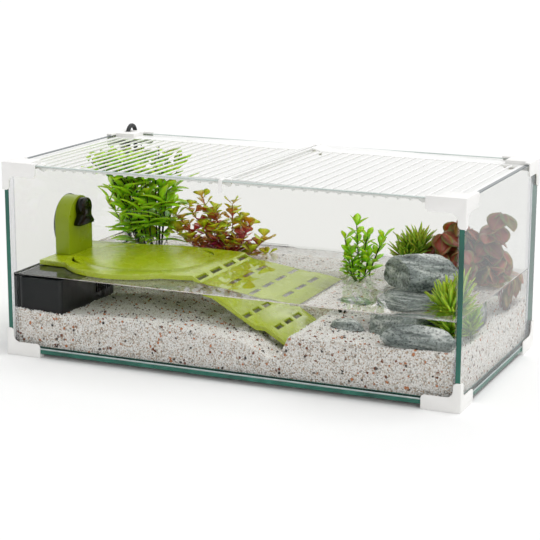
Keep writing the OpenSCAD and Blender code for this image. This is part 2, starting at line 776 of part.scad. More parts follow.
// Outline of the deck: a swept bulge to the front and a straight rear edge
deck_front = [for (p = ellipse_pts(95, 96, 24, 220, 315)) [oval_x - 3 + p[0], -30 + p[1]]];
function deck_outline() = concat(
    [[deck_edge_x, ramp_y - ramp_w / 2], [-252, ramp_y - ramp_w / 2 - 1]],
    deck_front,
    [[crease_x, ramp_y - ramp_w / 2], [crease_x, ramp_y + ramp_w / 2],
    [-148, ramp_y + ramp_w / 2 + 4], [-237, ramp_y + ramp_w / 2 - 15],
    [deck_edge_x, ramp_y + ramp_w / 2 - 19]]);

// Same outline moved in by a rim's width, by shrinking it about the oval
function shrink(pts, in) = [for (p = pts)
    [oval_x + (p[0] - oval_x) * (1 - in / 100), oval_y + (p[1] - oval_y) * (1 - in / 90)]];

module oval(a, b, h)
    linear_extrude(h) translate([oval_x, oval_y]) polygon(ellipse_pts(a, b));

// Crescent slot between two ovals, over the angles from and to
module crescent(from, to, w)
    translate([oval_x, oval_y, deck_z - deck_t - 1]) linear_extrude(deck_t + 2)
        polygon(concat(
            ellipse_pts(oval_a + 6, oval_b + 6, 12, from, to),
            [for (i = [0 : 12]) let (t = to + (from - to) * i / 12,
                q = w * sin(180 * i / 12))
                [(oval_a + 6 + q) * cos(t), (oval_b + 6 + q) * sin(t)]]));

module platform() color(lime) {
    difference() {
        union() {
            // deck with a rim under its edge
            translate([0, 0, deck_z - deck_t]) linear_extrude(deck_t) polygon(deck_outline());
            translate([0, 0, deck_z - rim_drop]) linear_extrude(rim_drop) difference() {
                polygon(deck_outline());
                polygon(shrink(deck_outline(), 3));
                translate([crease_x - 6, ramp_y - ramp_w / 2 + 3])
                    square([20, ramp_w - 6]);
            }
            ramp();
            // pegs that stand on the rim of the filter box
            for (x = [box_x0 + box_wall / 2, box_x1 - box_wall / 2], y = [-70, 30])
                box(x - box_wall / 2 + 0.05, x + box_wall / 2 - 0.05, y, y + 12,
                    box_top, deck_z - deck_t + eps);
        }
        // oval groove
        difference() {
            translate([0, 0, deck_z - 1.2]) oval(oval_a, oval_b, 2);
            translate([0, 0, deck_z - 2]) oval(oval_a - 3, oval_b - 3, 4);
            box(-ix, box_x0 + 40, -iy, iy, deck_z - 2, deck_z + 2);
        }
        crescent(206, 238, 5);
        crescent(34, 62, 5);
        // way for the riser into the tower
        box(tower_x0 + tower_wall, tower_x1 - tower_wall, tower_y - tower_r + tower_wall,
            tower_y + tower_r - tower_wall, deck_z - rim_drop - 1, deck_z + 1);
    }
}

// Side view of the ramp, t below its upper line
module ramp_side(t, from = 0)
    polygon(concat([for (i = [from : 5]) ramp_line[i]],
        [for (i = [5 : -1 : from]) ramp_line[i] - [0, t]]));

// Bent ramp with a lip down each side and staggered slots
module ramp() {
    translate([0, ramp_y, 0]) difference() {
        rotate([90, 0, 0]) {
            linear_extrude(ramp_w, center = true) ramp_side(ramp_t);
            for (s = [-1, 1]) translate([0, 0, s * (ramp_w / 2 - 1.25)])
                linear_extrude(2.5, center = true) ramp_side(ramp_lip);
        }
        for (i = [0 : 3]) {
            x = crease_x + 3 + 36 * i;
            for (k = i % 2 == 0 ? [-1.5 : 1.5] : [-1 : 1])
                box(x, x + slot_w, k * slot_pitch - slot_l / 2, k * slot_pitch + slot_l / 2,
                    0, deck_z + 5);
        }
    }
}

// Arched outline of the tower, seen along X, moved in by a wall
module tower_outline(in) {
    r = tower_r - in;
    translate([-r, deck_z]) square([2 * r, tower_h - tower_r]);
    translate([0, tower_top - tower_r]) circle(r);
}

// Hollow arch that hides the riser, open below and with a spout opening in front
module spout_tower() color(lime)
    translate([0, tower_y, 0]) difference() {
        translate([tower_x0, 0, 0]) rotate([90, 0, 90])
            linear_extrude(tower_t) tower_outline(0);
        translate([tower_x0 + tower_wall, 0, -1]) rotate([90, 0, 90])
            linear_extrude(tower_t - 2 * tower_wall) tower_outline(tower_wall);
        // spout opening
        translate([tower_x1 - tower_wall - 1, 0, spout_z]) rotate([0, 90, 0])
            cylinder(r = spout_open_r, h = tower_wall + 2);
        box(tower_x1 - tower_wall - 1, tower_x1 + 1, -spout_open_r, spout_open_r,
            spout_z - spout_drop, spout_z);
        // hole for the stud of the suction cup
        translate([tower_x0 - 1, cup_y - tower_y, cup_z]) rotate([0, 90, 0])
            cylinder(r = cup_stud_r + plug_fit, h = tower_wall + 2);
    }

cup_y = tower_y + 7.5;
cup_z = deck_z + 37;
cup_stud_r = 4;

// Soft cup between the tower and the left pane, held by a stud with a head
module suction_cup() color([0.85, 0.88, 0.88, 0.6])
    translate([-ix + 0.3, cup_y, cup_z]) rotate([0, 90, 0]) {
        difference() {
            union() {
                cylinder(r = cup_r, h = 0.9);
                cylinder(r1 = cup_r * 0.8, r2 = 8, h = 2.2);
            }
            translate([0, 0, -eps]) cylinder(r1 = cup_r * 0.6, r2 = 5, h = 0.6);
        }
        cylinder(r = cup_stud_r, h = tower_wall + 3.2);
        translate([0, 0, tower_wall + 2.8]) cylinder(r1 = cup_stud_r + 1.2, r2 = 3.6, h = 1.7);
    }

// Cable

// Tapered gland on the pump, round the cable's end
module cable_gland() color(black)
    translate([gland_x, pump_y1, gland_z]) rotate([-90, 0, 0])
        cylinder(r1 = cable_d / 2 + 2.4, r2 = cable_d / 2 + 0.4, h = gland_l);

module cable() color(black) tube(cable_pts, cable_d / 2, 8);

module cable_tail() color(black) tube(smooth(tail_pts, 2), cable_d / 2, 8);

// Coil: two turns inwards, half a turn up onto them, then outwards again
function coil_radius(t) =
    t < 2 ? coil_r - coil_pitch * t
    : t < 2.5 ? coil_r - 2 * coil_pitch - 2 * sin(360 * (t - 2))
    : coil_r - 2 * coil_pitch + coil_pitch * (t - 2.5);
function coil_height(t) = cable_d / 2
    + coil_step * (t < 2 ? 0 : t < 2.5 ? (1 - cos(360 * (t - 2))) / 2 : 1);
function coil_point(t) = let (a = 360 * t - 90)
    [coil_c[0] + coil_radius(t) * cos(a), coil_c[1] + coil_radius(t) * sin(a), coil_height(t)];
coil_pts = concat([coil_point(0) - [cable_d, 0, 0]],
    [for (i = [0 : 24 * coil_turns]) coil_point(i / 24)],
    [coil_point(coil_turns) + [cable_d, 0, 0]]);
// Least gap between points of the coil that are over a third of a turn apart
coil_gap = min([for (i = [0 : len(coil_pts) - 1], j = [i + 8 : 1 : len(coil_pts) - 1])
    norm(coil_pts[i] - coil_pts[j])]) - cable_d;
echo(least_coil_gap = coil_gap);

module cable_coil() color(black) tube(coil_pts, cable_d / 2, 6);

// Two-pin plug with a tapered sleeve, lying on the table
module plug() color(black)
    translate(plug_at) rotate([0, 90, 0]) {
        cylinder(r1 = cable_d / 2 + 0.4, r2 = 6, h = 22);
        translate([0, 0, 22]) linear_extrude(16)
            round_rect(-8, 8, -13, 13, 6);
    }

module plug_pins() color("#c9c9c6")
    for (s = [-1, 1]) translate(plug_at + [38, s * 9.5, 0]) rotate([0, 90, 0])
        cylinder(r = 2, h = 19);

// Landscape

// Bed of gravel, level from front to rear, with room for what stands in it
module gravel_bed() color("#d9d6cf")
    difference() {
        rotate([90, 0, 0]) linear_extrude(2 * (iy - bed_gap), center = true)
            polygon(concat([[-ix + bed_gap, base_top], [ix - bed_gap, base_top]],
                [for (i = [len(gravel_line) - 1 : -1 : 0]) let (p = gravel_line[i])
                    [max(min(p[0], ix - bed_gap), -ix + bed_gap), p[1]]]));
        // silicone fillets
        for (sx = [-1, 1], sy = [-1, 1])
            box(sx * ix - bead_r - seam - bed_gap, sx * ix + bead_r + seam + bed_gap,
                sy * iy - bead_r - seam - bed_gap, sy * iy + bead_r + seam + bed_gap,
                base_top - 1, deck_z);
        // filter box
        box(-ix - 1, box_x1 + bed_gap, box_y0 - bed_gap, box_y1 + bed_gap,
            base_top - 1, deck_z);
        // plant feet
        for (p = [bush_at, red_at, lime_at, fan_at, begonia_at, grass_at])
            translate([p[0], p[1], foot_level(p) - bed_gap])
                cylinder(r = foot_r + bed_gap, h = 60);
    }

// A plant's foot is sunk into the gravel by its own thickness
function foot_level(p) = level_at(gravel_line, p[0]) - foot_t;

// Worn stone: a lumpy ellipsoid cut flat below and, on request, above
function lump(a, b, c, s, rows = 8, cols = 14) =
    [for (i = [1 : rows - 1], k = [0 : cols - 1])
        let (v = 180 * i / rows, u = 360 * k / cols,
            q = 1 + 0.07 * sin(3 * u + 40 * s) * sin(v) + 0.05 * cos(2 * u + 5 * v + 70 * s))
        [a * q * sin(v) * cos(u), b * q * sin(v) * sin(u), c * q * cos(v)]];

module stone(a, b, c, s, rows = 8, cols = 14) {
    m = (rows - 1) * cols;
    points = concat(lump(a, b, c, s, rows, cols), [[0, 0, c], [0, 0, -c]]);
    faces = concat(
        [for (k = [0 : cols - 1]) [m, (k + 1) % cols, k]],
        [for (k = [0 : cols - 1]) [m + 1, (rows - 2) * cols + k, (rows - 2) * cols + (k + 1) % cols]],
        [for (i = [0 : rows - 3], k = [0 : cols - 1]) let (n = (k + 1) % cols)
            each [[i * cols + k, i * cols + n, (i + 1) * cols + n],
                [i * cols + k, (i + 1) * cols + n, (i + 1) * cols + k]]]);
    polyhedron(points, faces, convexity = 4);
}

// Stone of height h, cut level at z0 and on top; its lump has its middle at
// the share m of its height and reaches the share r of it up and down from there
module seated_stone(c, s, z0, h, m, r, turn, seed) color(slate)
    intersection() {
        translate([c[0], c[1], z0 + m * h]) rotate(turn) stone(s[0], s[1], r * h, seed);
        box(-ix + 1, ix - 1, -iy + 1, iy - 1, z0, z0 + h);
    }

module stone_middle()
    seated_stone(middle_c, middle_s * 0.92, gravel_right, middle_h, 0.34, 0.845, -8, 1);

module stone_top()
    seated_stone(top_c, top_s * 0.92, middle_top, top_h, 0.383, 0.575, 6, 2);

module stone_front()
    seated_stone(front_c, front_s * 0.9, gravel_right, front_h, 0.3125, 0.625, 3, 3);

module stone_small()
    seated_stone(small_c, small_s * 0.9, gravel_right, small_h, 0.154, 0.846, -20, 4);

// Ring of leaves in one plane: each has a waist, two shoulders and a tip
module leaf_ring(n, r, w, waist = 2)
    linear_extrude(leaf_t) polygon([for (k = [0 : n - 1]) let (a = 360 * k / n)
        each [waist * [cos(a - 180 / n), sin(a - 180 / n)],
            0.5 * r * [cos(a - w), sin(a - w)],
            r * [cos(a), sin(a)],
            0.5 * r * [cos(a + w), sin(a + w)]]]);

// Weighted foot with stems that lean outwards from a ring on it; the leaf rings
// lie level, each at a height of its own, so that no two of them meet
module leafy_plant(at, stems, h, lean, rings, n, r, w, first = 0.4) {
    step = h * (1 - first) / (rings * stems);
    translate([at[0], at[1], foot_level(at)]) {
        cylinder(r = foot_r, h = foot_t);
        for (i = [0 : stems - 1]) {
            a = 360 * i / (stems - 1);
            tilt = i == 0 ? 0 : lean;
            root = i == 0 ? 0 : foot_r * 0.6;
            top = h * first + step * (rings * stems - i * 2 - 1);
            translate([root * cos(a), root * sin(a), 0]) {
                rotate([0, tilt, a]) cylinder(r = stem_r, h = top / cos(tilt), $fn = 6);
                for (k = [0 : rings - 1]) {
                    z = top - k * step * stems;
                    translate([z * tan(tilt) * cos(a), z * tan(tilt) * sin(a), z - leaf_t])
                        rotate(37 * k + 11 * i) leaf_ring(n, r * (0.64 + 0.12 * k), w);
                }
            }
        }
    }
}

module plant_bush() color("#5fae14")
    leafy_plant(bush_at, 6, bush_h, 7, 4, 6, bush_leaf, 14);

module plant_red() color("#a8552a")
    leafy_plant(red_at, 6, red_h, 10, 4, 5, red_leaf, 17);

module plant_lime() color("#8fd413")
    leafy_plant(lime_at, 5, lime_h, 9, 3, 5, lime_leaf, 20, 0.6);

// Palm-like fan: narrow blades that spread from the top of one stalk
module plant_fan() color("#3f7a1c")
    translate([fan_at[0], fan_at[1], foot_level(fan_at)]) {
        cylinder(r = foot_r, h = foot_t);
        cylinder(r = 2 * stem_r, h = fan_h);
        for (a = [-75 : 15 : 75])
            translate([0, 0, fan_h - 2]) rotate([0, a, 25]) rotate([90, 0, 0])
                linear_extrude(leaf_t, center = true)
                    polygon([[-1, 0], [-2.2, fan_blade / 2], [0, fan_blade],
                        [2.2, fan_blade / 2], [1, 0]]);
    }

// Begonia: round leaves, each level at the end of a leaning stalk
module plant_begonia() color("#7c3a2c")
    translate([begonia_at[0], begonia_at[1], foot_level(begonia_at)]) {
        cylinder(r = foot_r, h = foot_t);
        for (i = [0 : 6]) {
            tilt = i == 0 ? 0 : 14;
            root = i == 0 ? 0 : foot_r * 0.6;
            a = 60 * i;
            z = begonia_h * (1 - 0.093 * i);
            translate([root * cos(a), root * sin(a), 0]) {
                rotate([0, tilt, a]) cylinder(r = stem_r, h = z / cos(tilt), $fn = 6);
                translate([z * tan(tilt) * cos(a), z * tan(tilt) * sin(a), z - leaf_t])
                    rotate(a) linear_extrude(leaf_t)
                        polygon(ellipse_pts(begonia_leaf / 2, 0.38 * begonia_leaf, 20));
            }
        }
    }

// Tuft of grass: tapered blades that lean away from the middle
module plant_grass() color("#6f9a1f")
    translate([grass_at[0], grass_at[1], foot_level(grass_at)]) {
        cylinder(r = foot_r, h = foot_t);
        for (i = [0 : 10]) rotate(360 * i / 11) translate([4 + 2 * (i % 2), 0, 0])
            rotate([0, 5 + 3 * (i % 3), 0]) rotate([90, 0, 0])
                linear_extrude(leaf_t, center = true)
                    polygon([[-1.4, 1], [-1, 0.6 * grass_h], [0, grass_h - 6 * (i % 3)],
                        [1, 0.6 * grass_h], [1.4, 1]]);
    }

base_glass();
front_glass();
rear_glass();
left_glass();
right_glass();
base_seam();
corner_seams();
foot_cap_at(-1, -1);  // foot_cap_front_left
foot_cap_at(1, -1);  // foot_cap_front_right
foot_cap_at(-1, 1);  // foot_cap_rear_left
foot_cap_at(1, 1);  // foot_cap_rear_right
rim_cap_at(-1, -1);  // rim_cap_front_left
rim_cap_at(1, -1);  // rim_cap_front_right
rim_cap_at(-1, 1);  // rim_cap_rear_left
rim_cap_at(1, 1);  // rim_cap_rear_right
cover_left();
cover_right();
front_centre_clip();
rear_centre_clip();
filter_box();
filter_divider();
filter_sponge();
pump_housing();
pump_intake_cover();
impeller_shaft();
impeller();
riser_pipe();
spout();
platform();
spout_tower();
suction_cup();
cable_gland();
cable();
cable_coil();
cable_tail();
plug();
plug_pins();
gravel_bed();
stone_middle();
stone_top();
stone_front();
stone_small();
plant_bush();
plant_red();
plant_lime();
plant_fan();
plant_begonia();
plant_grass();
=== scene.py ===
# %% [markdown]
# A low reptile terrarium stands on a white table: glass, white caps and cover, a lime platform
# with its ramp in the water, gravel, stones and artificial plants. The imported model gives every
# piece its place. This script gives each one its looks, and adds what a drawing office leaves
# out: the water, thousands of gravel grains, leaves and the rough skin of stone.

# %% Load the frame
import json
import math
import random

import bmesh
import bpy
from mathutils import Matrix, Vector, noise


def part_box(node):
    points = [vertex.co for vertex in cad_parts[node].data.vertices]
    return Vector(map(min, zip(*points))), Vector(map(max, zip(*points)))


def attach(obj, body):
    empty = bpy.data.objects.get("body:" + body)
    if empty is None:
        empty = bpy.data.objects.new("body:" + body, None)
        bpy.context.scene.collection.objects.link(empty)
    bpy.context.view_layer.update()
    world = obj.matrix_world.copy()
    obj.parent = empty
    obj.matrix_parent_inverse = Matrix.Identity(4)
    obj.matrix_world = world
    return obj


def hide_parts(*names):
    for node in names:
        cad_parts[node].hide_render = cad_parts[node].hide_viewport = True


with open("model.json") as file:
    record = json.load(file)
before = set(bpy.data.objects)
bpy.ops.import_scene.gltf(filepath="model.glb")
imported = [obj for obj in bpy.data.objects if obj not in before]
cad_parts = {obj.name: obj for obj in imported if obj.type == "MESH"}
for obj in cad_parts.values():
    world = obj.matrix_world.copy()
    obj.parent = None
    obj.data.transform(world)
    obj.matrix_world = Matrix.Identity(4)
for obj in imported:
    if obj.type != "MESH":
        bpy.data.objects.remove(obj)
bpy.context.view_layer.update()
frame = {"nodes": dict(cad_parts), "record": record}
MM = 0.001
scene = bpy.context.scene
scene.view_settings.view_transform = "Standard"
body_of_node = {node: body
                for body, nodes in frame["record"]["behaviour"]["bodies"].items()
                for node in nodes}

# %% [markdown]
# The camera stands where the photograph was taken: in front, to the right and a little above.
# Its place and its three angles were worked out from the eight outer corners of the tank. The
# angles give three directions, to the side, up and ahead, and these fill the camera's matrix.

# %% Camera
CAMERA_AT = Vector((0.81615, -1.8595, 0.5744))
CAMERA_YAW, CAMERA_PITCH, CAMERA_ROLL = -0.4156, 0.2270, 0.0032
CAMERA_LENS, CAMERA_SENSOR, CAMERA_SEES = 109.3, 36, 50


def placed(name, data):
    """An object that holds some data, linked into the scene."""
    thing = bpy.data.objects.new(name, data)
    scene.collection.objects.link(thing)
    return thing


ahead = Vector((math.sin(CAMERA_YAW) * math.cos(CAMERA_PITCH),
                math.cos(CAMERA_YAW) * math.cos(CAMERA_PITCH),
                -math.sin(CAMERA_PITCH)))
level = Vector((math.cos(CAMERA_YAW), -math.sin(CAMERA_YAW), 0))
upright = level.cross(ahead)
side = math.cos(CAMERA_ROLL) * level + math.sin(CAMERA_ROLL) * upright
top = -math.sin(CAMERA_ROLL) * level + math.cos(CAMERA_ROLL) * upright

camera = placed("camera", bpy.data.cameras.new("camera"))
camera.data.lens = CAMERA_LENS
camera.data.sensor_width = CAMERA_SENSOR
camera.data.clip_end = CAMERA_SEES
camera.matrix_world = (Matrix.Translation(CAMERA_AT)
                       @ Matrix((side, top, -ahead)).transposed().to_4x4())
scene.camera = camera
print("the camera stands", round(CAMERA_AT.length, 2), "m away")

# %% [markdown]
# Every colour below is written as the hex value that a paint chart would give. Blender computes
# with linear light, so one function turns the hex value into it. A second one adds a node
# together with its settings, its links and the stops of its colour ramp, if it has one.

# %% Colours and nodes
def linear(hex_colour):
    """A hex colour as the linear RGBA that a shader needs."""
    channels = [int(hex_colour[i:i + 2], 16) / 255 for i in (1, 3, 5)]
    return [c / 12.92 if c <= 0.04045 else ((c + 0.055) / 1.055) ** 2.4 for c in channels] + [1]


def add(tree, kind, links=None, stops=(), **settings):
    """Adds a node with its settings.

    links gives inputs a value or joins them to another node's output, and stops gives a colour
    ramp its positions and hex colours."""
    node = tree.nodes.new(kind)
    for key, value in settings.items():
        setattr(node, key, value)
    for key, value in (links or {}).items():
        if isinstance(value, bpy.types.NodeSocket):
            tree.links.new(value, node.inputs[key])
        else:
            node.inputs[key].default_value = value
    elements = node.color_ramp.elements if stops else ()
    while len(elements) < len(stops):
        elements.new(0.5)
    for element, (position, colour) in zip(elements, stops):
        element.position = position
        element.color = linear(colour)
    return node


print("a mid grey in linear light:", round(linear("#808080")[0], 3))

# %% [markdown]
# Nearly all the finishes follow one recipe, so it is written once: a Principled shader, a colour
# that wanders between a few stops with one noise, and a fine relief from another. The sizes of
# both noises are given in millimetres on the object's own coordinates, as on the real thing.

# %% A mottled finish
def bare_material(name):
    """A material whose node tree is still empty, with that tree."""
    material = bpy.data.materials.new(name)
    material.use_nodes = True
    material.node_tree.nodes.clear()
    return material, material.node_tree


def new_material(name, values):
    """A material that holds only a Principled shader, with its tree and that shader."""
    material, tree = bare_material(name)
    shader = add(tree, "ShaderNodeBsdfPrincipled", values)
    add(tree, "ShaderNodeOutputMaterial", {"Surface": shader.outputs["BSDF"]})
    return material, tree, shader


def grain(tree, size_mm, detail=3, roughness=0.5, stretch=None, distortion=0):
    """Noise whose lumps are about size_mm across, from 0 to 1."""
    place = add(tree, "ShaderNodeTexCoord").outputs["Object"]
    if stretch:
        place = add(tree, "ShaderNodeMapping", {
            "Vector": place, "Scale": stretch}).outputs["Vector"]
    return add(tree, "ShaderNodeTexNoise", {
        "Vector": place, "Scale": 1000 / size_mm, "Detail": detail,
        "Roughness": roughness, "Distortion": distortion}).outputs["Fac"]


def surface(tree, shader, colour, height, depth_mm):
    """Gives a shader a colour and a relief of about depth_mm, each from a node's output."""
    bump = add(tree, "ShaderNodeBump", {
        "Height": height, "Distance": depth_mm * MM, "Strength": 1.0})
    tree.links.new(colour, shader.inputs["Base Color"])
    tree.links.new(bump.outputs["Normal"], shader.inputs["Normal"])


def mottled(name, values, stops, spots, skin, depth_mm):
    """A material with its tree and its shader.

    spots and skin are the settings of the noise for its colour and of the one for its relief."""
    material, tree, shader = new_material(name, values)
    colour = add(tree, "ShaderNodeValToRGB", {"Fac": grain(tree, **spots)}, stops=stops)
    surface(tree, shader, colour.outputs["Color"], grain(tree, **skin), depth_mm)
    return material, tree, shader


print("a noise with lumps of 40 mm has a scale of", 1000 / 40)

# %% [markdown]
# Moulded plastic is never one flat colour: the mould's spark-eroded skin scatters the light a
# little, flow lines leave faint clouds, and handled places are glossier. One function makes all
# the plastics of the tank, since they differ only in their colours, their gloss and the size of
# that skin. The skin is drawn at 0.8 mm, coarser than the real 0.1 mm, so that it shows at all.
# The lime platform is polypropylene: waxy, so it mirrors the bright room at a flat angle. The
# foam, the magnet and the ceramic inside the pump have the same recipe with other numbers.

# %% Plastics
def moulded(name, dark, light, roughness, skin_mm=0.8, skin_depth=0.02, cloud_mm=40, ior=1.5):
    """A moulded plastic with clouds between two colours and a fine eroded skin."""
    material, tree, shader = mottled(
        name, {"IOR": ior}, [(0.3, dark), (0.7, light)], {"size_mm": cloud_mm, "detail": 4},
        {"size_mm": skin_mm, "detail": 2}, skin_depth)
    gloss = add(tree, "ShaderNodeMapRange", {
        "Value": grain(tree, cloud_mm / 3), "From Min": 0.3, "From Max": 0.7,
        "To Min": roughness - 0.05, "To Max": roughness + 0.06})
    tree.links.new(gloss.outputs["Result"], shader.inputs["Roughness"])
    return material


# Caps and clips: a warm white with a satin skin.
white_abs = moulded("moulded_white_abs", "#f1f0ed", "#f6f5f3", 0.42)
# Cover: a cooler white, as satin as the caps.
white_pp = moulded("moulded_white_polypropylene", "#f1f1ef", "#f5f5f4", 0.4)
# Filter box, pump and pipe: a dull black with a trace of blue.
black_pp = moulded("moulded_black_polypropylene", "#0a0e11", "#111518", 0.48)
# Spout: polished, so it shows the lamps as small clear highlights.
gloss_black_abs = moulded("polished_black_abs", "#020202", "#050505", 0.12, skin_depth=0.004,
                          ior=1.4)
# Platform: a strong lime that turns pale where it mirrors the room.
lime_pp = moulded("moulded_lime_polypropylene", "#a3b406", "#b0c20c", 0.26, cloud_mm=55,
                  ior=1.8)
# Tower: the same plastic, its lime painted deeper as painted shade.
lime_pp_painted_shade = moulded("moulded_lime_polypropylene_painted_shade", "#869803", "#90a306", 0.3,
                        cloud_mm=55)
# Sponge: open cells of 1.6 mm, so it is rough and nearly black.
filter_foam = moulded("open_cell_filter_foam", "#232729", "#343a3d", 0.9, skin_mm=1.6,
                      skin_depth=1.2, cloud_mm=12)
# Impeller: a dull grey coat over a magnet.
sintered_magnet = moulded("coated_ferrite_magnet", "#2a2c2e", "#3a3d40", 0.5, skin_mm=1.2)
# Impeller's shaft: ground until it shines, off-white.
ground_ceramic = moulded("ground_alumina_shaft", "#e6e2d8", "#f1eee6", 0.2, skin_depth=0.004)
moulded_kinds = (white_abs, white_pp, black_pp, gloss_black_abs, lime_pp, lime_pp_painted_shade,
                 filter_foam, sintered_magnet, ground_ceramic)
print("moulded, foamed and fired materials:", len(moulded_kinds))

# %% [markdown]
# The lead has a soft black jacket of PVC, which is dull and picks up dust in faint clouds. The
# plug's pins are nickel plated brass: a metal, so its colour is the colour of its reflections,
# and fine streaks along the pins are left from drawing the wire.

# %% Jacket and plated brass
pvc_jacket = moulded("pvc_cable_jacket", "#131516", "#1d2021", 0.5, skin_mm=0.6, cloud_mm=18)
nickel = mottled("nickel_plated_brass", {"Metallic": 1.0, "Roughness": 0.24},
                 [(0.3, "#b8b6ae"), (0.7, "#cfcdc6")], {"size_mm": 3, "stretch": (0.2, 1, 1)},
                 {"size_mm": 0.7, "stretch": (0.1, 1, 1)}, 0.01)[0]
print("the lead is of", pvc_jacket.name, "and its pins of", nickel.name)

# %% [markdown]
# The mains lead comes first, because its length decides how much room the part needs. It leaves
# the pump's gland, climbs under the deck and out over the rear rim in a tight loop, hangs down
# behind, and is wound into a neat coil of four turns, as in its box. The points of the free
# stretches are listed, and the coil is a spiral from a formula.

# %% Mains lead: the points
CABLE_D = 0.006
ROUTE = [(-262, 25.2, 51.3), (-262, 31, 51.3), (-262, 37.5, 53.2), (-262, 43.5, 57.2),
         (-262, 48.5, 63.5), (-262, 53, 71.5), (-262, 57.5, 79), (-262, 63, 86),
         (-262, 71, 90.5), (-262.5, 81, 92), (-264, 92, 92.3), (-267, 103, 92.8),
         (-271, 114, 94.5), (-275.5, 124, 99), (-279.5, 132, 106), (-282.5, 138, 116),
         (-284.5, 141.5, 130), (-285, 142.5, 150), (-285, 142.5, 190), (-285, 142.5, 225),
         (-285, 142.5, 243.5), (-285, 143.9, 248.7), (-285, 147.8, 252.6), (-285, 153, 254),
         (-285, 158.2, 252.6), (-285, 162.1, 248.7), (-285, 163.5, 243.5), (-285, 164, 225),
         (-285, 164, 160), (-285, 164, 100), (-284.5, 164, 60), (-283, 164.5, 38),
         (-278, 165.5, 21), (-268, 166.5, 9), (-254, 167.5, 3.6), (-236, 168, 3),
         (-200, 168, 3), (-160, 168, 3), (-126.2, 168, 3)]
TAIL = [(-113.8, 171.5, 9.6), (-108, 171.5, 9.6), (-92, 172, 6.5), (-74, 175, 3.2),
        (-52, 182, 3), (-30, 189, 3), (-8, 192, 4.5), (6, 192, 7.2), (14, 192, 8),
        (19.8, 192, 8)]
COIL_CENTRE = (-120, 208)
COIL_R, COIL_PITCH, COIL_STEP, COIL_TURNS = 40, 7, 6.6, 4
print("points of the route and of the tail:", len(ROUTE), len(TAIL))

# %% [markdown]
# A smooth line is drawn through the points. The coil goes inwards for two turns on the table,
# climbs on top of itself in half a turn, and comes out again on the second layer.

# %% Mains lead: the line
COIL_INWARD, COIL_CLIMB, COIL_SWING, STEPS_A_TURN = 2, 0.5, 2, 48


def through(points, steps=4):
    """A smooth line through points (Catmull-Rom), with steps pieces between two of them."""
    points = [Vector(p) for p in points]
    line = []
    for i in range(len(points) - 1):
        a, b = points[max(i - 1, 0)], points[i]
        c, d = points[i + 1], points[min(i + 2, len(points) - 1)]
        for k in range(steps):
            t = k / steps
            line.append(0.5 * (2 * b + (c - a) * t + (2 * a - 5 * b + 4 * c - d) * t * t
                               + (3 * b - a - 3 * c + d) * t ** 3))
    return line + [points[-1]]


def coil_point(t):
    """The coil's line after t turns: in, half a turn up a layer, and out again."""
    past = t - COIL_INWARD
    inmost = COIL_R - COIL_INWARD * COIL_PITCH
    if past < 0:
        radius, lift = COIL_R - COIL_PITCH * t, 0
    elif past < COIL_CLIMB:
        radius = inmost - COIL_SWING * math.sin(2 * math.pi * past)
        lift = (1 - math.cos(2 * math.pi * past)) / 2
    else:
        radius, lift = inmost + COIL_PITCH * (past - COIL_CLIMB), 1
    angle = 2 * math.pi * (t - 0.25)
    return Vector((COIL_CENTRE[0] + radius * math.cos(angle),
                   COIL_CENTRE[1] + radius * math.sin(angle),
                   CABLE_D / MM / 2 + COIL_STEP * lift))


coil = [coil_point(k / STEPS_A_TURN) for k in range(COIL_TURNS * STEPS_A_TURN + 1)]
cable_line = [p * MM for p in through(ROUTE) + coil + through(TAIL)]

# %% [markdown]
# A round lead is the simplest of shapes to Blender: a poly curve with a bevel depth of half its
# thickness. The stems of the plants are made by the same function, and get thinner upwards.

# %% Mains lead: the curve
def tubes(name, lines, radius, sides, taper=0.0):
    """Round tubes along lines of points, as one curve. taper is the share that they lose."""
    data = bpy.data.curves.new(name, "CURVE")
    data.dimensions = "3D"
    data.bevel_depth = radius
    data.bevel_resolution = sides
    data.use_fill_caps = True
    for line in lines:
        spline = data.splines.new("POLY")
        spline.points.add(len(line) - 1)
        spline.use_smooth = True
        for k, (point, place) in enumerate(zip(spline.points, line)):
            point.co = (*place, 1)
            point.radius = 1 - taper * k / len(line)
    return placed(name, data)


mains_lead = tubes("mains_lead", [cable_line], CABLE_D / 2, sides=3)
mains_lead.data.materials.append(pvc_jacket)
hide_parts("cable", "cable_coil", "cable_tail")
print("points of the lead:", len(cable_line))

# %% [markdown]
# Every finished piece ends the same way, as a mesh object at the origin with its place in its
# mesh: it gets its materials, rides on a body of the part and stands for the nodes it replaces.
# Modifiers are turned into plain mesh before that, so that nothing is left to work out later.

# %% Finishing a piece
def keep_piece(name, mesh, body, *materials, nodes=(), slot=None):
    """Links a finished mesh as a piece that rides on a body and stands for some nodes."""
    mesh.name = name
    if materials:
        mesh.materials.clear()
    for material in materials:
        mesh.materials.append(material)
    piece = placed(name, mesh)
    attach(piece, body)
    if nodes:
        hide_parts(*nodes)
    return piece


def mesh_of(bm, name):
    """The mesh that was built up in bm, which is freed."""
    mesh = bpy.data.meshes.new(name)
    bm.to_mesh(mesh)
    bm.free()
    return mesh


def finished(piece):
    """The mesh of an object with its modifiers applied; the object itself is removed."""
    bpy.context.view_layer.update()
    mesh = bpy.data.meshes.new_from_object(
        piece.evaluated_get(bpy.context.evaluated_depsgraph_get()))
    bpy.data.objects.remove(piece)
    return mesh


def smoothed(mesh, angle=35):
    """Shades a mesh smooth, with sharp edges where faces meet at more than the angle."""
    mesh.polygons.foreach_set("use_smooth", [True] * len(mesh.polygons))
    mesh.set_sharp_from_angle(angle=math.radians(angle))
    return mesh


print("bodies of the part:", *sorted(set(body_of_node.values())))

# %% [markdown]
# Most mouldings already have the right shape, but their edges are knife sharp, and real ones
# never are: a mould's edge has a small radius, and that radius is what catches the light. So a
# welded copy of each drawn piece gets a bevel, and stands in for the original.

# %% A softly edged copy of a drawn piece
WELD_MM = 0.002
FLAT, EDGE = math.radians(1), math.radians(40)


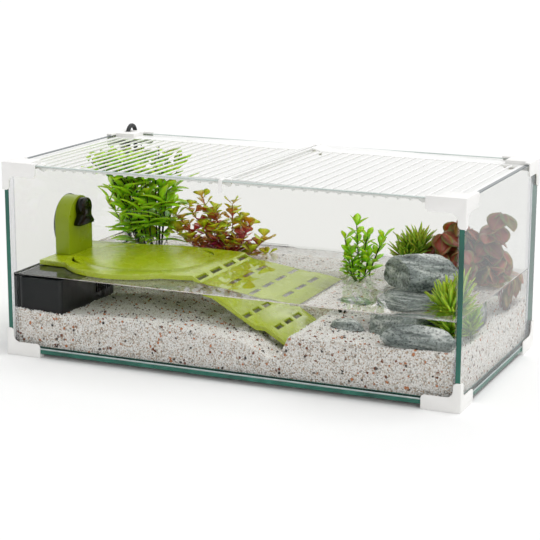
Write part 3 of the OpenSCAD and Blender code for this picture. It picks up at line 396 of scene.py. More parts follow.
def welded(node, whole=True):
    """A copy of a drawn piece with its loose triangles joined and flat faces made whole.

    A face can't have holes, so a piece with many slots keeps its triangles."""
    bm = bmesh.new()
    bm.from_mesh(frame["nodes"][node].data)
    bmesh.ops.remove_doubles(bm, verts=bm.verts, dist=WELD_MM * MM)
    if whole:
        bmesh.ops.dissolve_limit(bm, angle_limit=FLAT, verts=bm.verts, edges=bm.edges)
    return mesh_of(bm, node)


def dress(node, material, edge_mm=0.4, segments=2, suffix="moulding", whole=True, press=None):
    """Replaces a drawn piece by a copy with rounded edges, in a given material.

    press is a function that first moves the points of that copy."""
    mesh = welded(node, whole)
    if press:
        press(mesh)
    source = placed("tool", mesh)
    if edge_mm:
        bevel = source.modifiers.new("edges", "BEVEL")
        bevel.width = edge_mm * MM
        bevel.segments = segments
        bevel.limit_method = "ANGLE"
        bevel.angle_limit = EDGE
        bevel.use_clamp_overlap = True
        bevel.miter_outer = "MITER_ARC"
    mesh = smoothed(finished(source))
    slot = next(s["material_slot"] for s in frame["record"]["subparts"] if s["node"] == node)
    return keep_piece(f"{node}_{suffix}", mesh, body_of_node[node], material,
                      nodes=[node], slot=slot)


print("drawn pieces:", len(body_of_node))

# %% [markdown]
# The two halves of the cover lie on ledges inside the upper corner caps. They were drawn with
# deep bars that carry their load. On the real cover the bars are slim and lie a little below
# the glass rim, so that one looks through between them, and only their ends hook down behind
# the front pane. The copy of the drawn cover is pressed into that shape, apart from the hinge
# eyes in the middle. All the sizes below are in millimetres.

# %% The cover's slim bars
BAR_PITCH, BAR_FIRST, BARS = 14.25, 3.2, 19
BAR_REACH, BAR_SLIM = 1.75, 0.68
LID_TOP, BAR_LOW, RAIL_LOW = 246.0, 239.0, 241.5
SLIM_TOP, SLIM_RAIL_LOW, SLIM_BAR_LOW, HOOK_LOW = 242.2, 240.3, 240.3, 238.3
HINGE_REACH, HOOKS_FROM, HOOK_CUT = 12.0, -143.0, 0.5


def between(value, from_low, from_high, to_low, to_high):
    """Carries a value from one range over to another."""
    return to_low + (value - from_low) * (to_high - to_low) / (from_high - from_low)


def press_cover(mesh):
    """Lowers the frame of a cover half below the rim and makes its bars slim.

    The bars are cut behind the front rail first, so that only their ends stay deep."""
    bm = bmesh.new()
    bm.from_mesh(mesh)
    for y in (HOOKS_FROM - HOOK_CUT, HOOKS_FROM + HOOK_CUT):
        bmesh.ops.bisect_plane(bm, geom=bm.verts[:] + bm.edges[:] + bm.faces[:], dist=1e-6,
                               plane_co=(0, y * MM, 0), plane_no=(0, 1, 0))
    bm.to_mesh(mesh)
    bm.free()
    for vert in mesh.vertices:
        x, y, z = (c / MM for c in vert.co)
        if abs(x) < HINGE_REACH:
            continue
        number = min(max(round((abs(x) - BAR_FIRST) / BAR_PITCH), 1), BARS)
        centre = math.copysign(BAR_FIRST + number * BAR_PITCH, x)
        if abs(x - centre) < BAR_REACH and y > HOOKS_FROM:
            z = between(z, BAR_LOW, LID_TOP, SLIM_BAR_LOW, SLIM_TOP)
            x = centre + (x - centre) * BAR_SLIM
        elif z >= RAIL_LOW:
            z = between(z, RAIL_LOW, LID_TOP, SLIM_RAIL_LOW, SLIM_TOP)
        else:
            z = between(z, BAR_LOW, RAIL_LOW, HOOK_LOW, SLIM_RAIL_LOW)
        vert.co = Vector((x, y, z)) * MM


print("bars in a half of the cover:", BARS)

# %% [markdown]
# White caps of ABS hold the glass together at all eight corners, and two small clips of the
# same plastic carry the hinges on the centre line. The cover's halves are of polypropylene,
# whose hinge eyes can bend when they are snapped on.

# %% White caps and cover
CAPS = [f"{level}_cap_{corner}" for level in ("foot", "rim")
        for corner in ("front_left", "front_right", "rear_left", "rear_right")]
for node in CAPS:
    dress(node, white_abs, edge_mm=0.6)
for node in ("cover_left", "cover_right"):
    dress(node, white_pp, edge_mm=0.3, whole=False, press=press_cover)
for node in ("front_centre_clip", "rear_centre_clip"):
    dress(node, white_abs, edge_mm=0.3)
print("white mouldings:", len(CAPS) + 4)

# %% [markdown]
# The filter box, its pump and the pipe are dull black polypropylene. The lime platform and its
# tower are two mouldings of one plastic; the tower's lime is painted deeper as painted shade,
# and its edges are far rounder.
# The groove round the oval dish was drawn 1.2 mm deep, but the real one is only a soft step, so
# the copy's groove is pressed up until it is 0.45 mm deep. Sizes are in millimetres again.

# %% Filter box, pump, platform, tower and spout
DECK_TOP, GROOVE_FLOOR, GROOVE_DEPTH, SAME_LEVEL = 110.0, 108.8, 0.45, 0.05


def press_deck(mesh):
    """Makes the oval groove round the dish a soft step."""
    for vert in mesh.vertices:
        if abs(vert.co.z / MM - GROOVE_FLOOR) < SAME_LEVEL:
            vert.co.z = (DECK_TOP - GROOVE_DEPTH) * MM


BLACK_PIECES = ("filter_box", "filter_divider", "pump_housing", "pump_intake_cover",
                "cable_gland")
for node in BLACK_PIECES:
    dress(node, black_pp, edge_mm=0.5)
dress("riser_pipe", black_pp, edge_mm=0.3)
dress("filter_sponge", filter_foam, edge_mm=2, suffix="foam")
dress("impeller", sintered_magnet, edge_mm=0.3)
dress("impeller_shaft", ground_ceramic, edge_mm=0.2, suffix="pin")
dress("platform", lime_pp, edge_mm=0.8, segments=3, press=press_deck)
# The tower's lime is painted deeper than the deck's, as painted shade.
dress("spout_tower", lime_pp_painted_shade, edge_mm=2.6, segments=5)
dress("spout", gloss_black_abs, edge_mm=0.6, segments=3)
plug = dress("plug", pvc_jacket, edge_mm=1.2, segments=3)
plug_pins = dress("plug_pins", nickel, edge_mm=0.8, segments=3)
print("black mouldings of the filter:", len(BLACK_PIECES) + 1)

# %% [markdown]
# The coil is held by a tie, as it comes from its maker: a flat strip of rubber in a loop round
# all its turns. The loop is a rounded rectangle across the coil, swept six millimetres wide.

# %% Tie round the coil
TIE_ANGLE = math.radians(60)
TIE_INNER, TIE_OUTER, TIE_LOW, TIE_TOP = 22.4, 40.6, 0.05, 13.2
TIE_WIDE, TIE_THICK, TIE_CORNER = 6, 0.7, 3.2


def rounded_loop(low, high, bottom, top, corner, steps=6):
    """Points round a rectangle with round corners, in two coordinates."""
    loop = []
    for x, y, begin in ((high - corner, top - corner, 0), (low + corner, top - corner, 90),
                        (low + corner, bottom + corner, 180),
                        (high - corner, bottom + corner, 270)):
        for k in range(steps + 1):
            angle = math.radians(begin + 90 * k / steps)
            loop.append((x + corner * math.cos(angle), y + corner * math.sin(angle)))
    return loop


bm = bmesh.new()
out = Vector((math.cos(TIE_ANGLE), math.sin(TIE_ANGLE), 0))
across = Vector((-out.y, out.x, 0))
rings = []
for inset, shift in ((0, -1), (0, 1), (TIE_THICK, 1), (TIE_THICK, -1)):
    edge = Vector((*COIL_CENTRE, 0)) + across * shift * TIE_WIDE / 2
    rings.append([bm.verts.new((edge + out * r + Vector((0, 0, z))) * MM)
                  for r, z in rounded_loop(TIE_INNER + inset, TIE_OUTER - inset,
                                           TIE_LOW + inset, TIE_TOP - inset,
                                           TIE_CORNER - inset)])
for a, b in zip(rings, rings[1:] + rings[:1]):
    for k in range(len(a)):
        n = (k + 1) % len(a)
        bm.faces.new([a[k], b[k], b[n], a[n]])
bmesh.ops.recalc_face_normals(bm, faces=bm.faces)
rubber_band = moulded("moulded_black_rubber", "#1b1c1d", "#262829", 0.6, skin_mm=1.0)
tie = keep_piece("coil_tie", smoothed(mesh_of(bm, "tie"), 50), "tank", rubber_band,
                 slot="cable_rubber")
print("faces of the tie:", len(tie.data.polygons))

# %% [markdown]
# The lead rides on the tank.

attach(mains_lead, "tank")
print("the lead starts at", [round(c, 4) for c in cable_line[0]])

# %% [markdown]
# Glass needs two finishes. Its faces let nearly all light through and mirror the rest, more so
# at a flat angle: that is Fresnel's law, and it is what makes the right pane look milky here.
# A pane has two surfaces, which together mirror 2F / (1 + F) of the light. The mirror sits on
# the outward side only, so that light isn't turned back inside the pane. It shows the room a
# little darker than white, because a real studio isn't white all round.

# %% Clear sheets
# The shares of red, green and blue light that a mirror on the glass gives back of the room's.
ROOM_MIRRORED = (0.76, 0.775, 0.78, 1)


def passing_light(tree):
    """1 for light on its way to or from a matt surface, 0 for what is seen through a sheet."""
    light = add(tree, "ShaderNodeLightPath").outputs
    return add(tree, "ShaderNodeMath", {0: light["Is Shadow Ray"], 1: light["Is Diffuse Ray"]},
               operation="MAXIMUM").outputs[0]


def clear_sheet(name, tint, ior=1.5, weakest=0.0, gain=1.0, rim=None, rim_from=0.75):
    """Thin clear sheet: see-through with a tint, with a mirror by Fresnel's law.

    The mirror starts where the law passes weakest. A rim colour darkens it at a flat angle."""
    material, tree = bare_material(name)
    fresnel = add(tree, "ShaderNodeFresnel", {"IOR": ior}).outputs["Fac"]
    twice = add(tree, "ShaderNodeMath", {0: fresnel, 1: 2.0}, operation="MULTIPLY").outputs[0]
    plus = add(tree, "ShaderNodeMath", {0: fresnel, 1: 1.0}, operation="ADD").outputs[0]
    both = add(tree, "ShaderNodeMath", {0: twice, 1: plus}, operation="DIVIDE").outputs[0]
    share = add(tree, "ShaderNodeMapRange", {"Value": both, "From Min": weakest, "To Max": gain})
    behind = add(tree, "ShaderNodeNewGeometry").outputs["Backfacing"]
    passing = passing_light(tree)
    plain = add(tree, "ShaderNodeMath", {0: passing, 1: behind}, operation="MAXIMUM").outputs[0]
    front = add(tree, "ShaderNodeMath", {0: 1.0, 1: plain}, operation="SUBTRACT").outputs[0]
    factor = add(tree, "ShaderNodeMath", {0: share.outputs["Result"], 1: front},
                 operation="MULTIPLY").outputs[0]
    facing = add(tree, "ShaderNodeLayerWeight", {"Blend": 0.25}).outputs["Facing"]
    body = add(tree, "ShaderNodeValToRGB", {"Fac": facing},
               stops=[(0.1, tint), (rim_from, rim or tint)])
    tinted = add(tree, "ShaderNodeMix", {
        0: passing, 6: body.outputs["Color"], 7: linear("#ffffff")}, data_type="RGBA")
    through_it = add(tree, "ShaderNodeBsdfTransparent", {"Color": tinted.outputs[2]})
    mirror = add(tree, "ShaderNodeBsdfGlossy", {"Color": ROOM_MIRRORED, "Roughness": 0.0})
    mix = add(tree, "ShaderNodeMixShader", {
        0: factor, 1: through_it.outputs[0], 2: mirror.outputs[0]})
    add(tree, "ShaderNodeOutputMaterial", {"Surface": mix.outputs[0]})
    return material


float_glass = clear_sheet("float_glass", "#f9f9f8", weakest=0.088, gain=0.86)
print("clear sheet:", float_glass.name)

# %% [markdown]
# The ground edges of the panes show the iron in the glass as a deep green. Their upper edges
# are only seamed, so they are dull and scatter the room's light: pale on the long panes, and
# painted grey as painted shade on the short ones, which the camera sees end on. Edges that are
# glued to another pane stay clear, since the silicone shows through them.

# %% Panes
glass_edge = mottled("ground_glass_edge", {"Roughness": 0.22, "IOR": 1.52},
                     [(0.3, "#0a4e41"), (0.55, "#156655"), (0.75, "#33806f")],
                     {"size_mm": 30, "detail": 4, "stretch": (1, 1, 0.3)},
                     {"size_mm": 0.9}, 0.02)[0]
# The short panes' seamed rim is painted grey as painted shade; the long panes' rim is pale.
side_rim_painted_shade, long_rim = (
    mottled(f"seamed_rim_of_{panes}_panes", {"Roughness": 0.3, "IOR": 1.52},
            [(0.3, dark), (0.7, light)], {"size_mm": 14, "stretch": (0.3, 0.3, 1)},
            {"size_mm": 0.9}, 0.02)[0]
    for panes, dark, light in (("side", "#3f494c", "#566164"), ("long", "#a3b1ab", "#bcc8c3")))
ARRIS_MM = 0.7


def pane(node, thin_axis):
    """A pane with arrissed edges: clear faces, green edges, and an upper edge: pale, or painted
    grey as painted shade on a short pane.
    """
    source = placed("tool", welded(node))
    bevel = source.modifiers.new("arris", "BEVEL")
    bevel.width = ARRIS_MM * MM
    bevel.segments = 1
    mesh = finished(source)
    rim = side_rim_painted_shade if thin_axis == 0 else long_rim
    keep_piece(f"{node}_pane", mesh, "tank", float_glass, glass_edge, rim,
               nodes=[node], slot="tank_glass")
    for polygon in mesh.polygons:
        clear = abs(polygon.normal[thin_axis]) > 0.9
        glued = thin_axis == 1 and abs(polygon.normal.x) > 0.6
        polygon.material_index = 0 if clear or glued else 2 if polygon.normal.z > 0.6 else 1


PANES = {"base_glass": 2, "front_glass": 1, "rear_glass": 1, "left_glass": 0, "right_glass": 0}
for node, thin_axis in PANES.items():
    pane(node, thin_axis)
print("panes:", len(PANES))

# %% [markdown]
# Cured silicone is a clear rubber. The bed under the upright panes is thick enough to look
# milky, so it is an ordinary solid colour. The thin upright joints are as clear as the glass,
# and the suction cup is clear soft PVC that goes dark where one looks along its wall.

# %% Silicone and suction cup
silicone = mottled("cured_silicone", {"Roughness": 0.35, "IOR": 1.41},
                   [(0.3, "#aeb9ba"), (0.7, "#cdd5d5")], {"size_mm": 9}, {"size_mm": 2.5},
                   0.05)[0]
dress("base_seam", silicone, edge_mm=0, suffix="silicone")
clear_silicone = clear_sheet("clear_cured_silicone", "#fbfbfd", ior=1.41, rim="#f0f0f6")
dress("corner_seams", clear_silicone, edge_mm=0, suffix="silicone")
soft_pvc = clear_sheet("soft_clear_pvc", "#eef1ef", rim="#0b0d0c", rim_from=0.5)
dress("suction_cup", soft_pvc, edge_mm=0.2, suffix="rubber")
print("rubbery pieces:", silicone.name, clear_silicone.name, soft_pvc.name)

# %% [markdown]
# Water is a solid that bends light, with an index of 1.33, so it is modelled as one: a closed
# body that fills the tank up to its level and creeps up the panes by two millimetres. Through it
# the ramp looks broken at the surface, as it does in the real tank. Light that only passes
# through on its way to a matt surface isn't bent, or the floor of the tank would stay black.

# %% Water: its look
def water_material(name, at_glass):
    """Clear water. Where it touches the glass it has no mirror of its own from outside."""
    material, tree = bare_material(name)
    still = {"Color": (1, 1, 1, 1), "Roughness": 0.0, "IOR": 1.333}
    water_skin = add(tree, "ShaderNodeBsdfGlass", still).outputs[0]
    if at_glass:
        enter = add(tree, "ShaderNodeBsdfRefraction", still)
        inside = add(tree, "ShaderNodeNewGeometry").outputs["Backfacing"]
        water_skin = add(tree, "ShaderNodeMixShader", {
            0: inside, 1: enter.outputs[0], 2: water_skin}).outputs[0]
    pass_by = add(tree, "ShaderNodeBsdfTransparent", {"Color": (1, 1, 1, 1)})
    mix = add(tree, "ShaderNodeMixShader", {
        0: passing_light(tree), 1: water_skin, 2: pass_by.outputs[0]})
    add(tree, "ShaderNodeOutputMaterial", {"Surface": mix.outputs[0]})
    return material


open_water = water_material("still_water", False)
water_at_glass = water_material("still_water_at_glass", True)
print("water:", open_water.name, "and", water_at_glass.name)

# %% [markdown]
# Both the water and the gravel are bodies with walls, a flat floor and a top that follows a
# height. One function builds such a body on a grid. The water's grid is fine beside the panes,
# where it climbs the glass in a short curve, and coarser in between.

# %% A body under a height
RIM_STEPS = [0, 0.4, 0.9, 1.5, 2.4, 4, 7]


def grid_lines(reach, pitch):
    """Coordinates across the tank: fine beside the panes and even in between."""
    near = [reach - s * MM for s in RIM_STEPS]
    count = round(2 * near[-1] / pitch)
    middle = [-near[-1] + 2 * near[-1] * k / count for k in range(1, count)]
    return [-v for v in near] + middle + near[::-1]


def height_solid(name, xs, ys, height, floor_z, skip=None):
    """A closed body on a grid: a height field above, a flat floor below, and walls."""
    bm = bmesh.new()
    upper = {(i, j): bm.verts.new((x, y, height(x, y)))
             for i, x in enumerate(xs) for j, y in enumerate(ys)}
    lower = {(i, j): bm.verts.new((x, y, floor_z))
             for i, x in enumerate(xs) for j, y in enumerate(ys)}
    solid = {(i, j) for i in range(len(xs) - 1) for j in range(len(ys) - 1)
             if not (skip and skip((xs[i] + xs[i + 1]) / 2, (ys[j] + ys[j + 1]) / 2))}
    for i, j in solid:
        a, b, c, d = (i, j), (i + 1, j), (i + 1, j + 1), (i, j + 1)
        bm.faces.new([upper[a], upper[b], upper[c], upper[d]])
        bm.faces.new([lower[d], lower[c], lower[b], lower[a]])
        for (p, q), beside in (((a, b), (i, j - 1)), ((b, c), (i + 1, j)),
                               ((c, d), (i, j + 1)), ((d, a), (i - 1, j))):
            if beside not in solid:
                bm.faces.new([lower[p], lower[q], upper[q], upper[p]])
    bmesh.ops.delete(bm, geom=[v for v in bm.verts if not v.link_faces], context="VERTS")
    return mesh_of(bm, name)


print("fine steps beside a pane:", RIM_STEPS, "mm")

# %% [markdown]
# The water stands at 103 mm and leaves a tenth of a millimetre to the glass, because two faces
# in the same place would flicker. Its walls get the material without a mirror, and its top the
# one with a mirror. The top is shaded smooth, so that the curve at the panes shows no steps.

# %% Water: its body
WATER_LEVEL, WATER_GAP, WATER_PITCH = 0.103, 0.1 * MM, 12 * MM
MENISCUS, MENISCUS_WIDE = 0.0022, 1.1 * MM
PANE_THICK = 0.006
pane_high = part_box("base_glass")[1]
inner_x, inner_y = pane_high.x - PANE_THICK, pane_high.y - PANE_THICK
water_x, water_y = inner_x - WATER_GAP, inner_y - WATER_GAP


def water_height(x, y):
    """Level of the water, which climbs the nearest pane in a short curve."""
    gap = min(water_x - abs(x), water_y - abs(y))
    return WATER_LEVEL + MENISCUS * math.exp(-gap / MENISCUS_WIDE)


water = height_solid("water", grid_lines(water_x, WATER_PITCH),
                     grid_lines(water_y, WATER_PITCH), water_height, pane_high.z + WATER_GAP)
keep_piece("water", water, "tank", open_water, water_at_glass)
for polygon in water.polygons:
    on_top = polygon.normal.z > 0.1
    polygon.use_smooth = on_top
    polygon.material_index = 0 if on_top else 1
print("water polygons:", len(water.polygons))

# %% [markdown]
# The gravel is washed quartz of 2 to 3 mm, mostly white and grey with brown, rust and black
# grains. A bed gives it its surface, with low mounds, and leaves a recess for the filter box.
# Its height follows one line along the front, which dips under the end of the ramp, and an even
# line at the rear, with a bank between the two beside the ramp.

# %% Gravel: the bed
GRAVEL_LINE = [(-292, 60), (-228.5, 54), (-180, 59), (-60, 58), (24, 50), (58, 34.7),
               (72, 34.7), (84, 64.5), (292, 64.5)]
BEHIND_RAMP = [(-292, 60), (-180, 59), (-60, 60), (84, 64.5), (292, 64.5)]
RAMP_EDGE, RAMP_BANK = 65, 10
GRAVEL_REACH = (0.2904, 0.1469)
BED_PITCH, BED_SUNK, BED_GAP, BOX_GAP = 4 * MM, 0.6 * MM, 0.2 * MM, 0.4 * MM
MOUND_WIDE, MOUND_SMALL, MOUND_HIGH = 0.045, 0.014, 2.2
box_low, box_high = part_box("filter_box")


def line_height(line, x):
    """Height in mm at x on a line of (x, z) points."""
    for (x0, z0), (x1, z1) in zip(line, line[1:]):
        if x <= x1 * MM:
            return z0 + (z1 - z0) * max((x / MM - x0) / (x1 - x0), 0)
    return line[-1][1]


def gravel_level(x, y):
    """Height of the bed: it follows the drawn line, and lies even behind the ramp."""
    share = min(max((y / MM - RAMP_EDGE) / RAMP_BANK, 0), 1)
    return (line_height(GRAVEL_LINE, x) * (1 - share) + line_height(BEHIND_RAMP, x) * share) * MM


def bed_height(x, y):
    """The bed's line with low mounds, a little under the grains."""
    mound = (noise.noise(Vector((x, y, 0.3)) / MOUND_WIDE) * MOUND_HIGH
             + noise.noise(Vector((x, y, 7)) / MOUND_SMALL))
    return gravel_level(x, y) + mound * MM - BED_SUNK


def in_filter(x, y):
    """True where the filter box stands."""
    return x < box_high.x + BOX_GAP and box_low.y - BOX_GAP < y < box_high.y + BOX_GAP


def even(low, high, pitch):
    """Coordinates from low to high, at most a pitch apart."""
    count = math.ceil((high - low) / pitch)
    return [low + (high - low) * k / count for k in range(count + 1)]


bed_x = (even(-GRAVEL_REACH[0], box_high.x + BOX_GAP, BED_PITCH)
         + even(box_high.x + BOX_GAP, GRAVEL_REACH[0], BED_PITCH)[1:])
bed_y = (even(-GRAVEL_REACH[1], box_low.y - BOX_GAP, BED_PITCH)
         + even(box_low.y - BOX_GAP, box_high.y + BOX_GAP, BED_PITCH)[1:]
         + even(box_high.y + BOX_GAP, GRAVEL_REACH[1], BED_PITCH)[1:])
bed_mesh = height_solid("bed", bed_x, bed_y, bed_height, pane_high.z + BED_GAP, in_filter)
print("faces of the bed:", len(bed_mesh.polygons))

# %% [markdown]
# Each grain is one colour, so its material reads a random number from the grain and looks it up
# in steps, most of them near white. A faint cloud keeps it from being flat. Between the grains
# lies fine quartz sand, drawn as cells of 1.8 mm, coarser than the real sand, so that it shows.

# %% Gravel: its colours
GRAINS = [(0.0, "#fffffe"), (0.7, "#fbfaf7"), (0.85, "#e9e6e1"), (0.92, "#c4bfb8"),
          (0.945, "#c58052"), (0.962, "#7f482c"), (0.98, "#5a5450"), (0.993, "#2a2725")]
SAND = [(0, "#8d8981"), (0.14, "#dbd8d2"), (0.4, "#fffefc"), (0.95, "#b39c84")]
SAND_MM = 1.8

quartz, tree, shader = new_material("washed_quartz_gravel", {"Roughness": 0.4, "IOR": 1.54})
tone = add(tree, "ShaderNodeAttribute", attribute_name="tone").outputs["Fac"]
by_tone = add(tree, "ShaderNodeValToRGB", {"Fac": tone}, stops=GRAINS)
by_tone.color_ramp.interpolation = "CONSTANT"
cloud = add(tree, "ShaderNodeValToRGB", {"Fac": grain(tree, 1.2)},
            stops=[(0.3, "#efefee"), (0.7, "#ffffff")])
mixed = add(tree, "ShaderNodeMix", {
    0: 1.0, 6: by_tone.outputs["Color"], 7: cloud.outputs["Color"]},
    data_type="RGBA", blend_type="MULTIPLY")
surface(tree, shader, mixed.outputs[2], grain(tree, 0.8), 0.06)

fines, tree, shader = new_material("fine_quartz_sand", {"Roughness": 0.8})
place = add(tree, "ShaderNodeTexCoord").outputs["Object"]
specks = add(tree, "ShaderNodeTexVoronoi", {"Vector": place, "Scale": 1000 / SAND_MM})
value = add(tree, "ShaderNodeSeparateColor", {"Color": specks.outputs["Color"]})
sand = add(tree, "ShaderNodeValToRGB", {"Fac": value.outputs["Red"]}, stops=SAND)
surface(tree, shader, sand.outputs["Color"], specks.outputs["Distance"], 0.5)
keep_piece("gravel_bedding", bed_mesh.copy(), "tank", fines, nodes=["gravel_bed"], slot="gravel")
print("colours of grains:", len(GRAINS))

# %% [markdown]
# Scattering is a job for Geometry Nodes: a Poisson distribution keeps the points a grain apart,
# each point gets one of three crushed shapes, turned at random and stretched between a least
# and a most, and a random number on each grain picks its colour in the material. The same
# number makes the rust and black grains the largest, as they are in the real mix.

# %% Gravel: a tree that scatters grains
A_TURN = 6.283
# Points on a square metre, far more than the spacing lets through.
DENSEST = 600000.0
# Between these two tones a grain goes from its own size to the coarse size.
COARSE_TONES = (0.93, 0.945)


def socket(tree, name, kind, direction="INPUT"):
    """A named input or output of a tree."""
    return tree.interface.new_socket(name, in_out=direction, socket_type=kind)


scatter = bpy.data.node_groups.new("grains_on_a_bed", "GeometryNodeTree")
socket(scatter, "Geometry", "NodeSocketGeometry")
SCATTER_INPUTS = {name: socket(scatter, name, kind).identifier for name, kind in (
    ("Grain A", "NodeSocketObject"), ("Grain B", "NodeSocketObject"),
    ("Grain C", "NodeSocketObject"), ("Spacing", "NodeSocketFloat"),
    ("Least", "NodeSocketVector"), ("Most", "NodeSocketVector"),
    ("Coarse size", "NodeSocketFloat"), ("Seed", "NodeSocketInt"),
    ("Material", "NodeSocketMaterial"))}
socket(scatter, "Geometry", "NodeSocketGeometry", "OUTPUT")
start = add(scatter, "NodeGroupInput").outputs
points = add(scatter, "GeometryNodeDistributePointsOnFaces", {
    "Mesh": start["Geometry"], "Distance Min": start["Spacing"], "Density Max": DENSEST,
    "Seed": start["Seed"]}, distribute_method="POISSON")
shapes = add(scatter, "GeometryNodeJoinGeometry")
for name in ("Grain A", "Grain B", "Grain C"):
    info = add(scatter, "GeometryNodeObjectInfo", {"Object": start[name], "As Instance": True})
    scatter.links.new(info.outputs["Geometry"], shapes.inputs["Geometry"])
turn = add(scatter, "FunctionNodeRandomValue", {
    "Min": (0.0, 0.0, 0.0), "Max": (A_TURN, A_TURN, A_TURN), "Seed": 3},
    data_type="FLOAT_VECTOR")
stretch = add(scatter, "FunctionNodeRandomValue", {
    "Min": start["Least"], "Max": start["Most"], "Seed": 4}, data_type="FLOAT_VECTOR")
which = add(scatter, "FunctionNodeRandomValue", {4: 0, 5: 2, "Seed": 5}, data_type="INT")
tone = add(scatter, "FunctionNodeRandomValue", {2: 0.0, 3: 1.0, "Seed": 6}, data_type="FLOAT")
coarse = add(scatter, "ShaderNodeMapRange", {
    "Value": tone.outputs[1], "From Min": COARSE_TONES[0], "From Max": COARSE_TONES[1],
    "To Min": 1.0, "To Max": start["Coarse size"]})
sized = add(scatter, "ShaderNodeVectorMath", {
    0: stretch.outputs["Value"], "Scale": coarse.outputs["Result"]}, operation="SCALE")
rotate = add(scatter, "FunctionNodeEulerToRotation", {"Euler": turn.outputs["Value"]})
grains = add(scatter, "GeometryNodeInstanceOnPoints", {
    "Points": points.outputs["Points"], "Instance": shapes.outputs["Geometry"],
    "Pick Instance": True, "Instance Index": which.outputs[2],
    "Rotation": rotate.outputs["Rotation"], "Scale": sized.outputs["Vector"]})
named = add(scatter, "GeometryNodeStoreNamedAttribute", {
    "Geometry": grains.outputs["Instances"], "Name": "tone", "Value": tone.outputs[1]},
    data_type="FLOAT", domain="INSTANCE")
real = add(scatter, "GeometryNodeRealizeInstances", {"Geometry": named.outputs["Geometry"]})
painted = add(scatter, "GeometryNodeSetMaterial", {
    "Geometry": real.outputs["Geometry"], "Material": start["Material"]})
add(scatter, "NodeGroupOutput", {"Geometry": painted.outputs["Geometry"]})
print("nodes in", scatter.name + ":", len(scatter.nodes))

# %% [markdown]
# A grain starts as a coarse ball of 3.3 mm, and is mostly shrunk when it is scattered. The bed
# is cut into strips first, so that no piece grows too heavy. Grains lie on its surface and
# stand against the panes, where they show through, but not on its floor or in the filter's
# recess.

# %% Gravel: the grains
GRAIN_MM = 3.3
SIZES = {"Spacing": 2.3 * MM, "Least": (0.5, 0.5, 0.45), "Most": (1.2, 1.2, 1.0),
         "Coarse size": 1.35}
CRUSHED = (0.72, 1.12)
STRIPS, STRIP_SPARE = 8, 1.01


def crushed_grain(name, seed):
    """A grain of broken stone: a coarse ball with its corners pushed in and out."""
    bm = bmesh.new()
    bmesh.ops.create_icosphere(bm, subdivisions=1, radius=GRAIN_MM * MM / 2)
    chance = random.Random(seed)
    for vert in bm.verts:
        vert.co *= chance.uniform(*CRUSHED)
    return placed(name, mesh_of(bm, name))


def strip_of(mesh, low, high):
    """The part of the bed between two x values, without its floor and the filter's recess."""
    bm = bmesh.new()
    bm.from_mesh(mesh)
    drop = []
    for face in bm.faces:
        middle = face.calc_center_median()
        recess = abs(face.normal.z) < 0.5 and max(
            abs(middle.x) - GRAVEL_REACH[0], abs(middle.y) - GRAVEL_REACH[1]) < -1 * MM
        if face.normal.z < -0.5 or recess or not low <= middle.x < high:
            drop.append(face)
    bmesh.ops.delete(bm, geom=drop, context="FACES")
    return mesh_of(bm, "strip")


grain_shapes = {f"Grain {letter}": crushed_grain(f"grain_{letter}", seed)
                for letter, seed in (("A", 1), ("B", 2), ("C", 3))}
cuts = even(-GRAVEL_REACH[0] - MM, GRAVEL_REACH[0] + MM,
            2 * GRAVEL_REACH[0] / STRIPS * STRIP_SPARE)
total = 0
for number, (low, high) in enumerate(zip(cuts, cuts[1:]), 1):
    strip = placed("strip", strip_of(bed_mesh, low, high))
    modifier = strip.modifiers.new("grains", "NODES")
    modifier.node_group = scatter
    for name, value in {**grain_shapes, **SIZES, "Seed": number, "Material": quartz}.items():
        modifier[SCATTER_INPUTS[name]] = value
    mesh = finished(strip)
    total += len(mesh.polygons)
    keep_piece(f"gravel_grains_{number}", mesh, "tank", slot="gravel")
for shape in grain_shapes.values():
    bpy.data.objects.remove(shape)
print("triangles of gravel:", total)

# %% [markdown]
# The stones are worn slate. Slate splits along its bedding, so its skin shows long parallel
# ridges with rough broken steps between them. The drawn lump gives the place and the bulk, and a
# fine remesh of it is pushed in and out by noise that is stretched along the bedding.

# %% Stones: their slate
# Wet-looking dark layers, pale broken ones, a trace of lichen and painted shade in the small
# pits.
slate, tree, shader = new_material("tumbled_slate", {"IOR": 1.55})
bedding = grain(tree, 26, detail=8, roughness=0.62, stretch=(0.35, 1.2, 2.2), distortion=0.6)
pits = grain(tree, 3.2, detail=6, roughness=0.7)
base, lichen, painted_pit_shade, gloss = (
    add(tree, "ShaderNodeValToRGB", {"Fac": noise_output}, stops=stops).outputs["Color"]
    for noise_output, stops in (
        (bedding, [(0.3, "#36413f"), (0.42, "#687371"), (0.53, "#9ca6a3"), (0.66, "#e6eae7")]),
        (grain(tree, 34, detail=3), [(0.48, "#000000"), (0.72, "#5a5a5a")]),
        (pits, [(0.38, "#4d5250"), (0.5, "#ffffff")]),
        (pits, [(0.3, "#606060"), (0.7, "#b4b4b4")])))
tinted = add(tree, "ShaderNodeMix", {0: lichen, 6: base, 7: linear("#8c9079")},
             data_type="RGBA")
# Painted shade: the pits of the relief are darkened where the bump is low.
mixed = add(tree, "ShaderNodeMix", {0: 0.75, 6: tinted.outputs[2], 7: painted_pit_shade},
            data_type="RGBA", blend_type="MULTIPLY")
tree.links.new(gloss, shader.inputs["Roughness"])
surface(tree, shader, mixed.outputs[2], pits, 0.9)
print("nodes of the slate:", len(tree.nodes))

# %% [markdown]
# A stone is split before it is weathered: its points are pressed back to a few planes, each
# given by its direction and its distance from the stone's middle in millimetres. Then ridges
# along the bedding, broken steps and broad lumps move the skin along its own normals, less so
# near the ground, where the stone has to stay seated.

# %% Stones: their shapes
SPLIT_SHARE = 0.94
VOXEL_MM, SEATED_MM = 1.5, 4
LAYERS_MM, ROUGH_MM, BULK_MM = (46, 20, 7), 8, 32
RIDGE_PUSH, ROUGH_PUSH, BULK_PUSH, INWARD = 1.2, 0.6, 1.3, 1.6
ROUGHNESS, FINER, OCTAVES = 0.8, 2.1, 4
BEDDING_TILT, SEATED_SHARE = 0.35, 0.25


